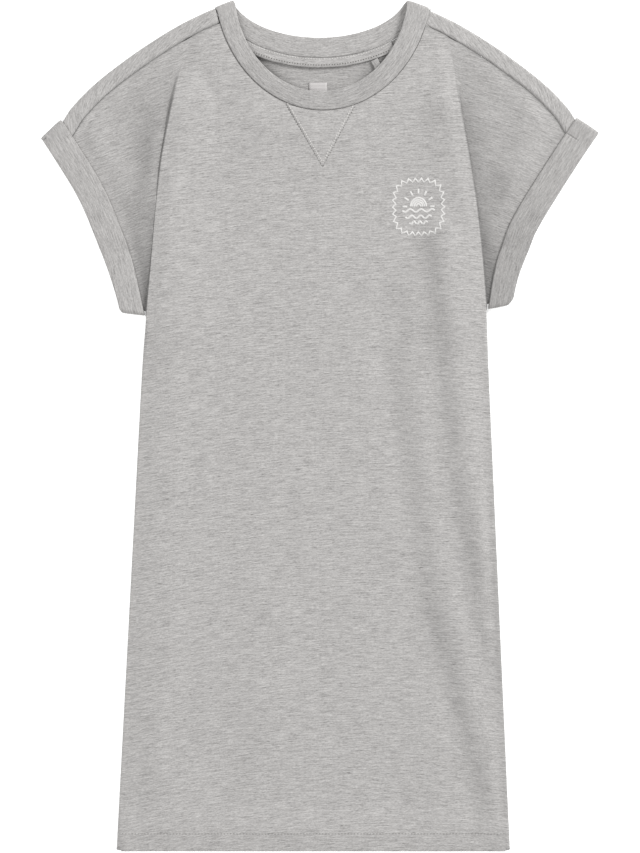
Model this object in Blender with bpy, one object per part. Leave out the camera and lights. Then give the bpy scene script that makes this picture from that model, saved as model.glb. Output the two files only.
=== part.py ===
"""Girl's t-shirt dress in grey marl jersey, laid flat on its back with the front up.

The maker cuts a front and a back with short sleeves grown on to them, so no seam runs round the
armhole. The back wraps forward over the shoulder to a seam on the front. The sleeves are drawn down
beside the body, which folds both panels into a pleat under the arm. A folded neckband, a neck tape,
a stitched V under the neckband, two turned-up cuffs, a hanger loop and a plain label are sewn on.

Measures are in millimetres and become metres when a mesh is made. X runs to the wearer's left, Y
from the hem to the neck and Z up from the surface that the dress lies on. A panel is a grid of
points on the middle of its cloth, which Solidify then gives its wall.
"""

import math

import bmesh
import bpy
import numpy as np
from mathutils import Vector
from mathutils.bvhtree import BVHTree

MM = 0.001
MIDDLE = Vector((0.75, 0.28, 0.0))  # middle of the laid dress, which becomes the origin
LEFT, RIGHT = -1, 1
FRONT, BACK = 1, -1

# Cloth
WALL = 1.1  # one layer of jersey
DOUBLE = 2.1  # the neckband and the cuffs are folded double
TRIM = 1.0  # tape, label and the V
GAP = 0.3
PITCH = WALL + GAP
FLOOR_LAYER = WALL / 2
FLAT_LOFT = PITCH / 2  # half the height between the middles of the two panels where they lie flat

# Body
HEM_Y = -389.3
HEM_DEPTH = 15.0
HEM_RISE = 30.0  # how far above the hem the front comes down from its turned-up layers
HEM_TAPER = 0.02  # the turned-up layer is narrower than the hem by this share
SIDE_ROLL = 3.0  # how far in from the side seam the front starts to turn down
ARM_Y = {LEFT: 101.5, RIGHT: 107.5}

# The body's edge: the side seam up to the underarm, and the fold beside the sleeve above it.
EDGE_COLUMNS = ("y", LEFT, RIGHT)
SIDE_SEAM = (
    (-389.3, -186.1, 175.5),
    (-230.0, -177.6, 168.4),
    (-70.0, -169.1, 161.3),
    (50.0, -162.7, 156.0),
)
ARM_FOLD = (
    (99.5, -158.9, 154.2),
    (150.0, -154.4, 150.6),
    (200.0, -150.0, 145.2),
    (250.0, -143.8, 137.2),
    (300.0, -133.6, 128.2),
    (330.0, -127.0, 124.2),
)

# Under-arm pleat: how far its hidden layer runs in, and how it opens out towards the shoulder
PLEAT_DEPTH = 16.0
PLEAT_LEAST = 0.5
PLEAT_SHUT_Y = 262.0  # the fold is closed below this height
PLEAT_OPEN_Y = 345.0  # and has opened out flat at this one
PLEAT_LEFT_OPEN = 0.001  # share of the half turn that is left there, so that its radius stays finite
PLEAT_TOP_FALL = 0.6  # how steeply the open pleat follows the shoulder line down
LAYER_STARTS, LAYER_WHOLE = 0.31, 0.94  # the hidden layer grows between these shares of the half turn
PLEAT_SLOPE = 30.0  # the body falls from its folded edge over this distance
UNDERARM_FADE = 60.0

# Shoulder edge, from the neckband to the sleeve's end, as distances out from SHOULDER_X
SHOULDER_X = 0.5
SHOULDER_EDGE = (
    (95.3, 383.7),
    (124.8, 369.8),
    (152.6, 353.3),
    (177.0, 336.7),
    (206.0, 314.0),
    (227.5, 291.5),
    (235.6, 278.6),
    (246.0, 263.5),
)
PLEAT_TOP_SHARE = 0.17  # where the pleat would meet the shoulder, as a share of that edge
SEAM_FORWARD = 14.0  # the shoulder seam lies this far forward of the edge
SEAM_CLEAR = 0.6  # so that the facets on its two sides stay 0.3 apart
CORNER_CLEAR = 3.0  # the shoulder seam runs straight into the neck from this far
NECK_LOFT = 3.0
SHOULDER_LOFT = 1.5
NECK_LOFT_SHARE = 0.45  # the neck's loft has gone at this share of the shoulder's length
CUFF_FLAT_FROM, CUFF_FLAT_AT = 0.6, 0.85  # and the roll flattens into the cuff between these
LOFT_REACH = 48.0

# Neck: each arc is the lower part of an ellipse
NECK_ARCS = {
    # name: (middle x, lowest y, half width, rise from the lowest point to the ellipse's middle)
    "front_seam": (3.8, 289.8, 100.5, 121.0),
    "front_free": (2.0, 307.3, 79.5, 93.0),
    "back_seam": (0.6, 338.6, 102.0, 65.0),
    "back_free": (0.0, 357.2, 82.0, 44.0),
}
BAND_TURN = 2.9  # radius at which the neckband turns over each shoulder
BAND_TIP_Y = 390.4
BAND_SLANT = math.radians(24.4)  # how far the neckband leans outward at the shoulders
NECK_CLEAR = 0.9  # so that the flat facets of the panels come within 0.3 of the band
TAPE_WIDTH = 9.0
TAPE_HALF = 66.0

# Cuffs: the upper edge of each, from the underarm to the shoulder, and its width
CUFF_WIDTH = 25.0
CUFF_END_WIDTH = 21.5  # at the underarm, where it runs in beside the body
CUFF_FULL_SHARE = 0.35  # share of its length at which it has its whole width
CUFF_END_SLANT = 0.0018  # share of its length that each millimetre of width takes off the lower end
CUFF_LENGTH = 205.0
CUFF_COLUMNS = ("left_x", "left_y", "right_x", "right_y")
CUFF_EDGE = (
    (-159.9, 101.5, 155.3, 107.5),
    (-170.9, 149.7, 161.0, 142.2),
    (-181.2, 179.8, 169.2, 169.5),
    (-200.0, 222.9, 180.4, 195.7),
    (-230.8, 272.7, 214.9, 251.2),
    (-237.6, 281.2, 236.5, 283.2),
)
CUFF_BACK_LAYER = DOUBLE / 2
SLEEVE_IN_CUFF = DOUBLE + GAP + WALL + GAP / 2  # height of the sleeve's middle inside its cuff
CUFF_TURN = SLEEVE_IN_CUFF - CUFF_BACK_LAYER
CUFF_CLEAR = 3.3  # the sleeve keeps this far inside the cuff's two ends
SLEEVE_CARRIED = 22.0  # the pleat and the cuff carry the sleeve as far as this from them,
SLEEVE_SETTLE = 45.0  # and it comes down towards the surface over this distance

# The V under the neckband, its corners by their place along the band's seam
V_LEFT_X, V_RIGHT_X = -30.5, 32.5
V_POINT = (3.5, 237.0)
V_TIP_SHARE = 0.97  # its rows stop this far down towards the point
V_CLEAR = 0.48

# Label and hanger loop, inside the back
LABEL_X = (-9.5, 7.5)
LABEL_Y = (301.0, 315.8)
LOOP_WIDTH = 7.0
LOOP_WALL = 1.6
LOOP_LINE = ((50.8, 336.5), (55.0, 328.0), (60.5, 316.0), (67.0, 305.0))

# The soft folds that show most: ends, height and half width of each ridge
RIDGE_COLUMNS = ("x0", "y0", "x1", "y1", "height", "half_width")
RIDGES = (
    (88.0, 110.0, 118.0, -170.0, 1.1, 20.0),
    (128.0, -120.0, 160.0, -370.0, 0.9, 16.0),
    (-128.0, 40.0, -150.0, -330.0, 0.8, 18.0),
    (-40.0, -180.0, -52.0, -380.0, 0.7, 22.0),
)

# Grid counts
BODY_COLUMNS = 20
ROW_CROWDING = 1.6  # how strongly rows crowd towards the underarm from below
ROLL_ENDS = 0.8  # share of the rows below the underarm at which the side roll starts to narrow
SHOULDER_SHARE = 0.1  # of the columns, on each side, that end on the shoulder seam
BODY_ROWS = 9
ARM_ROWS = 8
TURN_STEPS = 4
LAYER_STEPS = 1
SLEEVE_STEPS = 5
HEM_STEPS = 1
LINE_POINTS = 240
BAND_FRONT_STEPS, BAND_BACK_STEPS, BAND_ROWS = 22, 16, 2
CUFF_STEPS, CUFF_ROWS = 8, 2
TAPE_STEPS = 16
V_STEPS = 6
LOOP_STEPS = 6


def blend(start, end, share):
    return start + (end - start) * share


def ease(share):
    """Rises smoothly from 0 to 1."""
    share = min(max(share, 0.0), 1.0)
    return share * share * (3 - 2 * share)


def even(line):
    """The same line with evenly spaced points."""
    run = np.concatenate([[0], np.cumsum(np.linalg.norm(np.diff(line, axis=0), axis=1))])
    places = np.linspace(0, run[-1], LINE_POINTS)
    return np.column_stack([np.interp(places, run, line[:, axis]) for axis in (0, 1)])


def smooth_line(points):
    """Evenly spaced points on the Catmull-Rom curve through the given ones."""
    given = np.array(points, float)
    ends = np.vstack([2 * given[0] - given[1], given, 2 * given[-1] - given[-2]])
    fine = []
    for before, start, end, after in zip(ends, ends[1:], ends[2:], ends[3:]):
        for t in np.linspace(0, 1, 40, endpoint=False):
            squared = (2 * before - 5 * start + 4 * end - after) * t**2
            cubed = (3 * start - before - 3 * end + after) * t**3
            fine.append(0.5 * (2 * start + (end - before) * t + squared + cubed))
    return even(np.array([*fine, given[-1]]))


def at_share(line, share):
    """The point at this share of a line's length."""
    place = min(max(share, 0.0), 1.0) * (len(line) - 1)
    first = min(int(place), len(line) - 2)
    return blend(line[first], line[first + 1], place - first)


def heading(line, share):
    step = at_share(line, share + 0.01) - at_share(line, share - 0.01)
    return step / np.linalg.norm(step)


def nearest(line, point):
    """Distance from a point to a line, and the share of the line where it is nearest."""
    away = np.hypot(line[:, 0] - point[0], line[:, 1] - point[1])
    index = int(away.argmin())
    return float(away[index]), index / (len(line) - 1)


def neck_point(arc, x, outward=0.0):
    """The point of a neck arc at this x, moved outward from the ellipse."""
    middle, lowest, half_width, rise = NECK_ARCS[arc]
    across = (x - middle) / half_width
    down = math.sqrt(max(1 - across * across, 0.0))
    normal = np.array((across / half_width, -down / rise))
    normal /= np.linalg.norm(normal)
    return np.array((x, lowest + rise * (1 - down))) + normal * outward


def neck_arc(arc, height, outward=0.0):
    """A neck arc from the left shoulder to the right one, up to this height."""
    middle, lowest, half_width, rise = NECK_ARCS[arc]
    top = math.acos(1 - (height - lowest) / rise)
    angles = np.linspace(-top, top, LINE_POINTS)
    return smooth_line([neck_point(arc, middle + half_width * math.sin(a), outward) for a in angles[::8]])


# Lines that several pieces share
def shoulder_edge(side):
    return smooth_line([(SHOULDER_X + side * out, y) for out, y in SHOULDER_EDGE])


SHOULDER = {side: shoulder_edge(side) for side in (LEFT, RIGHT)}
CUFF_TOP = {
    LEFT: smooth_line([(row[0], row[1]) for row in CUFF_EDGE]),
    RIGHT: smooth_line([(row[2], row[3]) for row in CUFF_EDGE]),
}
NECK_SEAM = neck_arc("front_seam", SHOULDER_EDGE[0][1] + 6.0, NECK_CLEAR)


def shoulder_point(side, share, inward):
    """A point this far in from the shoulder edge."""
    along = heading(SHOULDER[side], share)
    normal = np.array((along[1], -along[0])) * side
    return at_share(SHOULDER[side], share) + normal * inward


def shoulder_loft(share):
    """Half the height of the shoulder's roll, highest at the neck and flat inside the cuff."""
    loft = blend(NECK_LOFT, SHOULDER_LOFT, ease(share / NECK_LOFT_SHARE))
    return blend(loft, FLAT_LOFT, ease((share - CUFF_FLAT_FROM) / (CUFF_FLAT_AT - CUFF_FLAT_FROM)))


def top_inset(face, share):
    """How far in from the shoulder edge a panel's own grid ends."""
    return SEAM_FORWARD + SEAM_CLEAR if face == FRONT else shoulder_loft(share)


def pleat_layer(side, y):
    """Length of the pleat's hidden layer at this height."""
    share = (y - ARM_Y[side]) / (PLEAT_SHUT_Y - ARM_Y[side])
    return blend(PLEAT_DEPTH, PLEAT_LEAST, ease(share))


def pleat_opening(y):
    """0 where the pleat is shut, 1 where it lies open."""
    return ease((y - PLEAT_SHUT_Y) / (PLEAT_OPEN_Y - PLEAT_SHUT_Y))


def pleat_angle(y):
    """How far the cloth turns at each of the pleat's two folds: half a turn, down to nothing."""
    return math.pi * blend(1.0, PLEAT_LEFT_OPEN, pleat_opening(y))


def pleat_profile(side, y, part, share):
    """Place in the pleat's section: distance out from where its first fold starts, and drop."""
    angle = pleat_angle(y)
    radius = math.pi * PITCH / 2 / angle
    grown = ease((angle / math.pi - LAYER_STARTS) / (LAYER_WHOLE - LAYER_STARTS))
    layer = pleat_layer(side, y) * grown + PLEAT_LEAST
    first = np.array((radius * math.sin(angle), radius * (1 - math.cos(angle))))
    run = np.array((math.cos(angle), math.sin(angle)))
    if part == "outer fold":
        return np.array((radius * math.sin(angle * share), radius * (1 - math.cos(angle * share))))
    if part == "layer":
        return first + run * layer * share
    back = angle * (1 - share)
    turned = np.array(
        (radius * (math.sin(angle) - math.sin(back)), radius * (math.cos(back) - math.cos(angle)))
    )
    return first + run * layer + turned


def pleat_drop(side, y):
    return float(pleat_profile(side, y, "inner fold", 1.0)[1])


def edge_parts(side, face):
    """The body's edge from the hem to the shoulder, below and above the underarm."""
    column = EDGE_COLUMNS.index(side)
    line = [(row[column], row[0]) for row in SIDE_SEAM + ARM_FOLD]
    top = shoulder_point(side, PLEAT_TOP_SHARE, top_inset(face, PLEAT_TOP_SHARE))
    whole = smooth_line([*line, top])
    above = whole[:, 1] > ARM_Y[side]
    meeting = np.array([[np.interp(ARM_Y[side], whole[:, 1], whole[:, 0]), ARM_Y[side]]])
    return even(np.vstack([whole[~above], meeting])), even(np.vstack([meeting, whole[above]]))


EDGES = {(side, face): edge_parts(side, face) for side in (LEFT, RIGHT) for face in (FRONT, BACK)}
ARM_SHARE = BODY_ROWS / (BODY_ROWS + ARM_ROWS)


def edge_point(side, face, v):
    """The body's edge at row share v: rows crowd towards the underarm from below."""
    below, above = EDGES[side, face]
    if v <= ARM_SHARE:
        return at_share(below, 1 - (1 - v / ARM_SHARE) ** ROW_CROWDING)
    return at_share(above, (v - ARM_SHARE) / (1 - ARM_SHARE))


def edge_inset(side, v):
    """How far in from the edge the body's own grid ends: at the start of the roll or the fold."""
    near_arm = ease((v / ARM_SHARE - ROLL_ENDS) / (1 - ROLL_ENDS))
    return blend(SIDE_ROLL, PITCH / 2, near_arm)


def body_side(side, face, v):
    return edge_point(side, face, v) - np.array((side * edge_inset(side, v), 0.0))


def neckline(face):
    """The neckline of a panel, from its left shoulder corner to its right one."""
    arc = "front_seam" if face == FRONT else "back_seam"
    drop = SEAM_FORWARD + SEAM_CLEAR if face == FRONT else NECK_LOFT
    return neck_arc(arc, SHOULDER_EDGE[0][1] - drop, NECK_CLEAR)


def top_lines(face):
    """The body's upper edge: shoulder, neck and shoulder, as three lines."""
    neck = neckline(face)
    pieces = {}
    for side, corner in ((LEFT, neck[0]), (RIGHT, neck[-1])):
        line = [body_side(side, face, 1.0)]
        for share in np.linspace(PLEAT_TOP_SHARE, 0, 12)[1:]:
            point = shoulder_point(side, share, top_inset(face, share))
            if (point[0] - corner[0]) * side > CORNER_CLEAR:
                line.append(point)
        pieces[side] = even(np.array([*line, corner]))
    return pieces[LEFT], neck, pieces[RIGHT][::-1]


TOPS = {face: top_lines(face) for face in (FRONT, BACK)}


def body_top(face, u):
    left, neck, right = TOPS[face]
    if u < SHOULDER_SHARE:
        return at_share(left, u / SHOULDER_SHARE)
    if u > 1 - SHOULDER_SHARE:
        return at_share(right, (u - 1 + SHOULDER_SHARE) / SHOULDER_SHARE)
    return at_share(neck, (u - SHOULDER_SHARE) / (1 - 2 * SHOULDER_SHARE))


def patch(left, right, bottom, top, u, v):
    """Coons patch: a point inside four edges, from u across and v up."""
    corners = blend(blend(bottom(0), bottom(1), u), blend(top(0), top(1), u), v)
    return blend(left(v), right(v), u) + blend(bottom(u), top(u), v) - corners


def body_plan(face, u, v):
    return patch(
        lambda share: body_side(LEFT, face, share),
        lambda share: body_side(RIGHT, face, share),
        lambda share: blend(body_side(LEFT, face, 0), body_side(RIGHT, face, 0), share),
        lambda share: body_top(face, share),
        u,
        v,
    )


# Heights. A panel's middle lies at `loft` above or below the height halfway between the panels.
def ridge_height(point):
    total = 0.0
    for row in RIDGES:
        ridge = dict(zip(RIDGE_COLUMNS, row))
        start = np.array((ridge["x0"], ridge["y0"]))
        along = np.array((ridge["x1"], ridge["y1"])) - start
        share = float(np.dot(point - start, along) / np.dot(along, along))
        side = float(np.linalg.norm(point - start - along * min(max(share, 0.0), 1.0)))
        total += ridge["height"] * math.exp(-((side / ridge["half_width"]) ** 2))
    return total


def top_loft(point):
    """Loft that the neckband and the shoulder rolls give the cloth near them."""
    from_neck = nearest(NECK_SEAM, point)[0]
    lofts = [(NECK_LOFT - FLAT_LOFT) * (1 - ease(from_neck / LOFT_REACH))]
    for side in (LEFT, RIGHT):
        from_edge, share = nearest(SHOULDER[side], point)
        near = 1 - ease((from_edge - SEAM_FORWARD) / LOFT_REACH)
        lofts.append((shoulder_loft(share) - FLAT_LOFT) * near)
    return max(lofts)


EDGE_HEIGHTS = {side: np.vstack(EDGES[side, FRONT]) for side in (LEFT, RIGHT)}


def pleat_loft(point):
    """Loft that the pleats' layers give the body over them."""
    lofts = []
    for side in (LEFT, RIGHT):
        edge = EDGE_HEIGHTS[side]
        y = max(point[1], ARM_Y[side])
        inside = (np.interp(point[1], edge[:, 1], edge[:, 0]) - point[0]) * side
        covered = pleat_layer(side, y) + 2 * PITCH
        fade = 1 - ease((ARM_Y[side] - point[1]) / UNDERARM_FADE)
        lofts.append(pleat_drop(side, y) * (1 - ease((inside - covered) / PLEAT_SLOPE)) * fade)
    return max(lofts)


def body_loft(point):
    hem = PITCH * (1 - ease((point[1] - HEM_Y - HEM_DEPTH) / HEM_RISE))
    return FLAT_LOFT + max(top_loft(point), pleat_loft(point), hem) + ridge_height(point)


def body_place(face, u, v):
    point = body_plan(face, u, v)
    return (*point, body_height(face, point))


def body_height(face, point):
    return FLOOR_LAYER + (2 * body_loft(point) if face == FRONT else 0.0)


def hem_place(face, u, step):
    """The turned-up hem: a half turn at the hem's edge, then a layer back up inside."""
    edge = body_plan(face, u, 0.0)
    height = body_height(face, edge)
    radius = PITCH / 2
    if step <= TURN_STEPS:
        angle = math.pi * step / TURN_STEPS
        out, turned = math.sin(angle), 1 - math.cos(angle)
        return (edge[0], edge[1] - radius * out, height - face * radius * turned)
    up = HEM_DEPTH * (step - TURN_STEPS) / HEM_STEPS
    hem_middle = (SIDE_SEAM[0][1] + SIDE_SEAM[0][2]) / 2
    inward = ease(up / HEM_DEPTH) * (edge[0] - hem_middle) * HEM_TAPER
    return (edge[0] - inward, edge[1] + up, height - face * PITCH)


def roll_place(face, side, v, share):
    """From the body's own grid out to the side seam: the front turns down to meet the back."""
    start = body_side(side, face, v)
    reach = edge_inset(side, v) - (WALL / 2 if face == FRONT else 0.0)
    if face == BACK:
        return (start[0] + side * reach * share, start[1], FLOOR_LAYER)
    height = body_height(FRONT, start)
    low = WALL + 2 * GAP
    angle = share * math.pi / 2
    out = reach * math.sin(angle)
    return (start[0] + side * out, start[1], low + (height - low) * math.cos(angle))


def sleeve_level(side, point, fold_level, from_fold):
    """Height halfway between the sleeve's two layers: up at the pleat and in the cuff, else down."""
    loft = FLAT_LOFT + top_loft(point)
    floor = FLOOR_LAYER + loft
    from_cuff, share = nearest(CUFF_TOP[side], point)
    across = np.dot(point - at_share(CUFF_TOP[side], share), cuff_outward(side, share))
    if across > 0:
        from_cuff = 0.0
    at_fold = 1 - ease((from_fold - SLEEVE_CARRIED) / SLEEVE_SETTLE)
    at_cuff = 1 - ease((from_cuff - SLEEVE_CARRIED) / SLEEVE_SETTLE)
    lifted = (fold_level - floor) * at_fold + (SLEEVE_IN_CUFF - floor) * at_cuff
    return floor + lifted / max(1.0, at_fold + at_cuff), loft


def cuff_outward(side, share):
    along = heading(CUFF_TOP[side], share)
    return np.array((along[1], -along[0])) * side


def cuff_plan(side, share, across):
    """A point of the cuff's outline: `across` runs from 0 at its upper edge to 1 at its opening."""
    width = across * blend(CUFF_END_WIDTH, CUFF_WIDTH, ease(share / CUFF_FULL_SHARE))
    share = blend(width * CUFF_END_SLANT, 1.0, share)
    return at_share(CUFF_TOP[side], share) + cuff_outward(side, share) * width


def pleat_place(face, side, v, part, share):
    """A point of the pleat's section, between the body and the sleeve."""
    start = body_side(side, face, v)
    loft = body_loft(start)
    middle = FLOOR_LAYER + loft
    sleeve_loft = FLAT_LOFT + top_loft(start)
    out, drop = pleat_profile(side, start[1], part, share)
    whole_drop = pleat_drop(side, start[1])
    fallen = drop / whole_drop if whole_drop > 1e-6 else 0.0
    height = middle + face * blend(loft, sleeve_loft, fallen)
    fall = PLEAT_TOP_FALL * out * pleat_opening(start[1])
    return (start[0] + side * out, start[1] - fall, height)


def sleeve_ends(face, side):
    """A sleeve's inner fold, its end, the low corner between them, and its top."""
    end_across = 1 - CUFF_CLEAR / CUFF_WIDTH
    low = cuff_plan(side, 2 * CUFF_CLEAR / CUFF_LENGTH, end_across)

    def inner(v):
        return np.array(pleat_place(face, side, blend(ARM_SHARE, 1, v), "inner fold", 1.0)[:2])

    start = inner(1.0)
    top = [start]
    for share in np.linspace(PLEAT_TOP_SHARE, 1.0, 40):
        point = shoulder_point(side, share, top_inset(face, share))
        if (point[0] - start[0]) * side > CORNER_CLEAR:
            top.append(point)
    outline = [cuff_plan(side, share, end_across) for share in np.linspace(0.15, 0.8, 12)]
    end = even(np.array([low, *outline, top[-1]]))
    return inner, end, low, even(np.array(top))


SLEEVES = {(face, side): sleeve_ends(face, side) for face in (FRONT, BACK) for side in (LEFT, RIGHT)}


def sleeve_place(face, side, t, v):
    inner, end, low, top = SLEEVES[face, side]
    point = patch(
        inner,
        lambda share: at_share(end, share),
        lambda share: blend(inner(0.0), low, share),
        lambda share: at_share(top, share),
        t,
        v,
    )
    if t == 0:
        return pleat_place(face, side, blend(ARM_SHARE, 1, v), "inner fold", 1.0)
    start = body_side(side, face, blend(ARM_SHARE, 1, v))
    fold_level = FLOOR_LAYER + body_loft(start)
    from_fold = float(np.linalg.norm(point - inner(v)))
    level, loft = sleeve_level(side, point, fold_level, from_fold)
    return (*point, level + face * loft)


# Making meshes
def placed(point):
    """A point of the model, in metres from the origin."""
    return (Vector(point) - MIDDLE) * MM


def grid(mesh, columns, rows, place):
    """A grid of faces whose points place(column, row) gives, added to the mesh."""
    made = bmesh.ops.create_grid(mesh, x_segments=columns, y_segments=rows, size=0.5)
    for vert in made["verts"]:
        column = round((vert.co.x + 0.5) * columns)
        row = round((vert.co.y + 0.5) * rows)
        vert.co = placed(place(column, row))


def material(name, colour, roughness):
    made = bpy.data.materials.new(name)
    made.use_nodes = True
    shader = made.node_tree.nodes["Principled BSDF"]
    shader.inputs["Base Color"].default_value = (*colour, 1.0)
    shader.inputs["Roughness"].default_value = roughness
    return made


def piece(name, mesh, wall, cloth, offset=0.0):
    """An object of one cloth piece: its grids joined, faced up and given their wall."""
    bmesh.ops.remove_doubles(mesh, verts=mesh.verts, dist=0.002 * MM)
    bmesh.ops.recalc_face_normals(mesh, faces=mesh.faces)
    data = bpy.data.meshes.new(name)
    mesh.to_mesh(data)
    mesh.free()
    data.shade_smooth()
    made = bpy.data.objects.new(name, data)
    made.data.materials.append(cloth)
    bpy.context.scene.collection.objects.link(made)
    solid = made.modifiers.new("wall", "SOLIDIFY")
    solid.thickness = wall * MM
    solid.offset = offset
    solid.use_rim = True
    return made


def panel(name, face, cloth):
    mesh = bmesh.new()
    rows = BODY_ROWS + ARM_ROWS
    grid(mesh, BODY_COLUMNS, rows, lambda i, j: body_place(face, i / BODY_COLUMNS, j / rows))
    grid(
        mesh,
        BODY_COLUMNS,
        TURN_STEPS + HEM_STEPS,
        lambda i, j: hem_place(face, i / BODY_COLUMNS, j) if j else body_place(face, i / BODY_COLUMNS, 0.0),
    )
    for side in (LEFT, RIGHT):
        add_roll_and_fold(mesh, face, side, rows)
        add_pleat_and_sleeve(mesh, face, side)
        if face == BACK:
            add_shoulder_wrap(mesh, side)
    return piece(name, mesh, WALL, cloth)


def add_roll_and_fold(mesh, face, side, rows):
    """The body's edge columns: a roll down to the side seam, and above the underarm a fold."""

    def place(i, j):
        v, share = j / rows, i / TURN_STEPS
        if i == 0:
            start = body_side(side, face, v)
            return (*start, body_height(face, start))
        if v < ARM_SHARE - 1e-6:
            return roll_place(face, side, v, share)
        return pleat_place(face, side, v, "outer fold", share)

    grid(mesh, TURN_STEPS, rows, place)


def add_pleat_and_sleeve(mesh, face, side):
    def layer(i, j):
        return pleat_place(face, side, blend(ARM_SHARE, 1, j / ARM_ROWS), "layer", i / LAYER_STEPS)

    def fold(i, j):
        return pleat_place(face, side, blend(ARM_SHARE, 1, j / ARM_ROWS), "inner fold", i / TURN_STEPS)

    grid(mesh, LAYER_STEPS, ARM_ROWS, layer)
    grid(mesh, TURN_STEPS, ARM_ROWS, fold)
    grid(mesh, SLEEVE_STEPS, ARM_ROWS, lambda i, j: sleeve_place(face, side, i / SLEEVE_STEPS, j / ARM_ROWS))


def add_shoulder_wrap(mesh, side):
    """The back's strip that rolls over the shoulder edge and lies forward to the seam."""
    tops = back_tops(side)

    def place(i, j):
        point = np.array(tops[i])
        if j == 0:
            return tuple(point)
        edge, share = nearest(SHOULDER[side], point[:2])
        along = heading(SHOULDER[side], share)
        inward = np.array((along[1], -along[0])) * side
        radius = shoulder_loft(share)
        if j <= TURN_STEPS:
            angle = math.pi * j / TURN_STEPS
            plan = point[:2] - inward * radius * math.sin(angle)
            rise = radius * (1 - math.cos(angle))
        else:
            plan = point[:2] + inward * (SEAM_FORWARD - radius) * (j - TURN_STEPS) / LAYER_STEPS
            rise = 2 * radius
        return (*(beside_neck(side, plan) if i == 0 else plan), point[2] + rise)

    grid(mesh, len(tops) - 1, TURN_STEPS + LAYER_STEPS, place)


def beside_neck(side, point):
    """The point moved along X to the neckband's seam."""
    heights, places = (NECK_SEAM[:, 1], NECK_SEAM[:, 0])
    half = len(NECK_SEAM) // 2
    reach = slice(0, half) if side == LEFT else slice(half, None)
    order = np.argsort(heights[reach])
    seam_x = np.interp(point[1], heights[reach][order], places[reach][order])
    return np.array((seam_x + side * NECK_CLEAR, point[1]))


def back_tops(side):
    """Points along the back's upper edge, from the neck to the sleeve's end."""
    columns = round(BODY_COLUMNS * SHOULDER_SHARE)
    shares = [(columns - i) / BODY_COLUMNS for i in range(columns + 1)]
    tops = [body_place(BACK, u if side == LEFT else 1 - u, 1.0) for u in shares]
    for part, steps in (("outer fold", TURN_STEPS), ("layer", LAYER_STEPS), ("inner fold", TURN_STEPS)):
        tops += [pleat_place(BACK, side, 1.0, part, i / steps) for i in range(1, steps + 1)]
    tops += [sleeve_place(BACK, side, i / SLEEVE_STEPS, 1.0) for i in range(1, SLEEVE_STEPS + 1)]
    return tops


def band_across(part, share, across):
    """Where the neckband lies, from its seam to its free edge."""
    seam, free = BAND_LINES[part]
    return blend(at_share(seam, share), at_share(free, share), across)


BAND_LINES = {
    "front": (
        neck_arc("front_seam", SHOULDER_EDGE[0][1] - BAND_TURN),
        neck_arc("front_free", BAND_TIP_Y - BAND_TURN),
    ),
    "back": (
        neck_arc("back_seam", SHOULDER_EDGE[0][1] - BAND_TURN),
        neck_arc("back_free", BAND_TIP_Y - BAND_TURN),
    ),
}


def neckband(cloth):
    """A ring: across the front, over one shoulder, along the back and over the other."""
    low = DOUBLE / 2
    ring = [("front", i / BAND_FRONT_STEPS, 0.0) for i in range(BAND_FRONT_STEPS)]
    ring += [(RIGHT, 1.0, i / TURN_STEPS) for i in range(TURN_STEPS)]
    ring += [("back", 1 - i / BAND_BACK_STEPS, 0.0) for i in range(BAND_BACK_STEPS)]
    ring += [(LEFT, 0.0, 1 - i / TURN_STEPS) for i in range(TURN_STEPS)]

    def place(i, j):
        part, share, turned = ring[i % len(ring)]
        across = j / BAND_ROWS
        if part in BAND_LINES:
            return (*band_across(part, share, across), low + (2 * BAND_TURN if part == "front" else 0.0))
        base = blend(band_across("front", share, across), band_across("back", share, across), turned)
        angle = math.pi * turned
        outward = np.array((part * math.sin(BAND_SLANT), math.cos(BAND_SLANT))) * math.sin(angle)
        return (*(base + outward * BAND_TURN), low + BAND_TURN * (1 + math.cos(angle)))

    mesh = bmesh.new()
    grid(mesh, len(ring), BAND_ROWS, place)
    return piece("neckband", mesh, DOUBLE, cloth)


def neck_tape(cloth):
    height = WALL + GAP + TRIM / 2

    def place(i, j):
        x = blend(-TAPE_HALF, TAPE_HALF, i / TAPE_STEPS)
        return (*neck_point("back_seam", x, GAP + TAPE_WIDTH * (1 - j)), height)

    mesh = bmesh.new()
    grid(mesh, TAPE_STEPS, 1, place)
    return piece("neck_tape", mesh, TRIM, cloth)


def v_insert(front, cloth):
    """The V lies on the front, so its points are the front's own, moved up."""
    surface = BVHTree.FromObject(front, bpy.context.evaluated_depsgraph_get())

    def place(i, j):
        top = neck_point("front_seam", blend(V_LEFT_X, V_RIGHT_X, i / V_STEPS), 2 * NECK_CLEAR)
        point = blend(top, np.array(V_POINT), V_TIP_SHARE * j / V_STEPS)
        above = Vector((*placed((*point, 0.0)).xy, 1.0))
        height = surface.ray_cast(above, Vector((0, 0, -1)))[0].z / MM
        return (*point, height + V_CLEAR + TRIM / 2)

    mesh = bmesh.new()
    grid(mesh, V_STEPS, V_STEPS, place)
    return piece("v_insert", mesh, TRIM, cloth)


def label(cloth):
    height = WALL + GAP + TRIM / 2
    mesh = bmesh.new()
    grid(mesh, 1, 1, lambda i, j: (LABEL_X[i], LABEL_Y[j], height))
    return piece("neck_label", mesh, TRIM, cloth)


def hanger_loop(cloth):
    line = smooth_line(LOOP_LINE)
    height = WALL + 2 * GAP + LOOP_WALL / 2

    def place(i, j):
        along = heading(line, i / LOOP_STEPS)
        side = np.array((-along[1], along[0])) * LOOP_WIDTH * (j - 0.5)
        return (*(at_share(line, i / LOOP_STEPS) + side), height)

    mesh = bmesh.new()
    grid(mesh, LOOP_STEPS, 1, place)
    return piece("hanger_loop", mesh, LOOP_WALL, cloth)


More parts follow.
